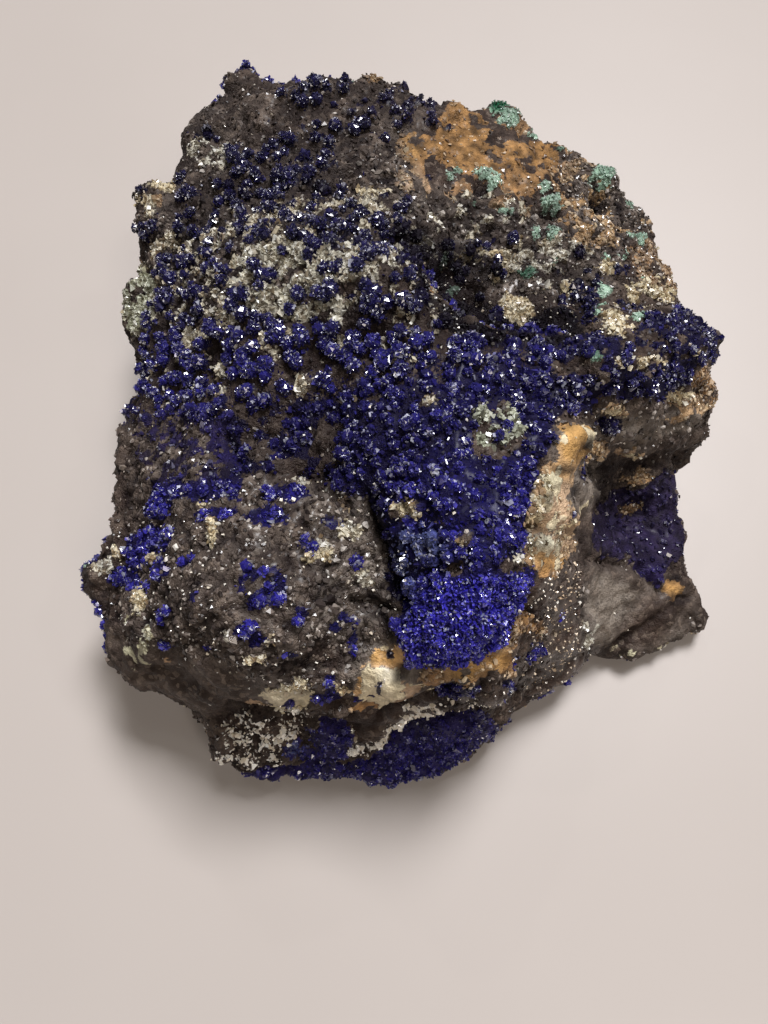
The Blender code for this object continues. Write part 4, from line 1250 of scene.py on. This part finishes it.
def limoniteMaterial():
    # tan grains, rusty or cream in places
    tan = [(0.0, (0.045, 0.026, 0.017)), (0.3, (0.20, 0.125, 0.072)), (0.7, (0.44, 0.31, 0.19)),
           (1.0, (0.72, 0.60, 0.45))]
    orange = [(0.0, (0.045, 0.018, 0.009)), (0.3, (0.20, 0.090, 0.026)), (0.7, (0.46, 0.235, 0.070)),
              (1.0, (0.72, 0.48, 0.25))]
    cream = [(0.0, (0.24, 0.15, 0.08)), (0.5, (0.62, 0.42, 0.22)), (1.0, (0.85, 0.70, 0.46))]
    return plainCrystal("limonite", 1.55, [tan, orange, cream], ["orange", "light"], (0.06, 0.03, 0.015),
                        0.35, 0.75, dustAndTopLight=0.05)


def malachiteMaterial():
    # mint grains, deep green in places
    mint = [(0.0, (0.14, 0.24, 0.17)), (0.3, (0.34, 0.52, 0.40)), (0.7, (0.52, 0.72, 0.58)),
            (1.0, (0.78, 0.90, 0.80))]
    deep = [(0.0, (0.003, 0.024, 0.011)), (0.6, (0.008, 0.085, 0.038)), (1.0, (0.030, 0.22, 0.11))]
    return plainCrystal("malachite", 1.65, [mint, deep], ["deep"], (0.015, 0.05, 0.032), 0.35, 0.7)


def clearMaterial():
    # crystals painted bright white as glints, golden in places
    white = [(0.0, (0.70, 0.60, 0.46)), (0.3, (0.95, 0.90, 0.80)), (1.0, (0.98, 0.98, 0.97))]
    gold = [(0.0, (0.30, 0.16, 0.07)), (0.4, (0.66, 0.43, 0.23)), (0.8, (0.92, 0.74, 0.50)),
            (1.0, (0.98, 0.95, 0.88))]
    return plainCrystal("clearCrystal", 1.9, [white, gold], ["orange"], (0.85, 0.76, 0.62), 0.05, 0.20,
                        paintedShade=0.25, root=0.1)


finishes = {
    "azuriteCrown": azuriteMaterial("azuriteBlue", 1.35, 0.25, 0.50),
    "rockGrains": grainMaterial(),
    "paleCrystals": paleMaterial(),
    "limoniteGrains": limoniteMaterial(),
    "malachiteTufts": malachiteMaterial(),
    "clearCrystals": clearMaterial(),
}
for name in ("azuriteField", "azuriteSkirt", "azuriteBright"):
    finishes[name] = finishes["azuriteCrown"]
knobThing.data.materials.append(azuriteMaterial("azuriteKnob", 1.2, 0.45, 0.75))
for name, thing in grown.items():
    thing.data.materials.append(finishes[name])
rock.data.materials.clear()
rock.data.materials.append(rockMaterial())
print("materials done")


# the floor, the lights and the camera
def makeFloor():
    # a pale square with a faint mottle
    side = 1.2
    mesh = bpy.data.meshes.new("paleFloor")
    corners = [(-side, -side, 0), (side, -side, 0), (side, side, 0), (-side, side, 0)]
    mesh.from_pydata(corners, [], [(0, 1, 2, 3)])
    floor = bpy.data.objects.new("paleFloor", mesh)
    bpy.context.collection.objects.link(floor)
    material, tree, shader = startMaterial("paleFloor", 1.45)
    mottle = put(tree, "ShaderNodeTexNoise", None, Vector=put(tree, "ShaderNodeTexCoord").outputs["Object"],
                 Scale=30.0, Detail=3.0).outputs[0]
    tone = blendOf(tree, mottle, (0.424, 0.380, 0.352), (0.446, 0.401, 0.373))
    tree.links.new(tone, shader.inputs["Base Color"])
    shader.inputs["Roughness"].default_value = 0.45
    mesh.materials.append(material)


lamps = {       # place, side, watts and colour
    "softbox": ((0.60, 1.50, 3.00), 1.00, 148.0, (0.98, 0.98, 1.0)),
    "frontWindow": ((0.70, -1.00, 1.90), 0.80, 14.0, (1.0, 0.90, 0.80)),
    "sparkBack": ((-0.05, 0.40, 0.50), 0.02, 0.13, (1.0, 1.0, 1.0)),
    "sparkLeft": ((-0.25, 0.12, 0.50), 0.02, 0.09, (1.0, 1.0, 1.0)),
    "sparkRight": ((0.32, 0.02, 0.52), 0.02, 0.13, (1.0, 1.0, 1.0)),
    "sparkFront": ((0.03, -0.30, 0.55), 0.02, 0.08, (1.0, 1.0, 1.0)),
    "sparkCorner": ((-0.22, -0.22, 0.60), 0.02, 0.08, (1.0, 1.0, 1.0)),
    "sparkTop": ((0.05, 0.10, 0.62), 0.02, 0.13, (1.0, 1.0, 1.0)),
}


def makeLight(name, place, side, watts, colour):
    # a square lamp turned to face the stone
    lamp = bpy.data.lights.new(name, "AREA")
    lamp.size = side
    lamp.energy = watts
    lamp.color = colour
    thing = bpy.data.objects.new(name, lamp)
    thing.location = place
    thing.rotation_euler = Vector(place).to_track_quat("Z", "Y").to_euler()
    bpy.context.collection.objects.link(thing)


def makeCamera():
    # the camera stands where the view is taken from
    camera = bpy.data.objects.new("studioCamera", bpy.data.cameras.new("studioCamera"))
    camera.location = view["place"]
    camera.rotation_euler = (math.radians(90.0 - view["elevation"]), 0.0, 0.0)
    camera.data.lens = view["lens"]
    camera.data.sensor_width = view["film"]
    camera.data.clip_start = 0.005
    bpy.context.collection.objects.link(camera)
    bpy.context.scene.camera = camera


makeFloor()
for name, settings in lamps.items():
    makeLight(name, *settings)
makeCamera()
room = bpy.data.worlds.new("studio")
room.use_nodes = True
background = room.node_tree.nodes["Background"].inputs
background["Color"].default_value = (0.95, 0.84, 0.74, 1.0)
background["Strength"].default_value = 0.045
bpy.context.scene.world = room
bpy.context.scene.view_settings.view_transform = "Standard"
print("studio ready")
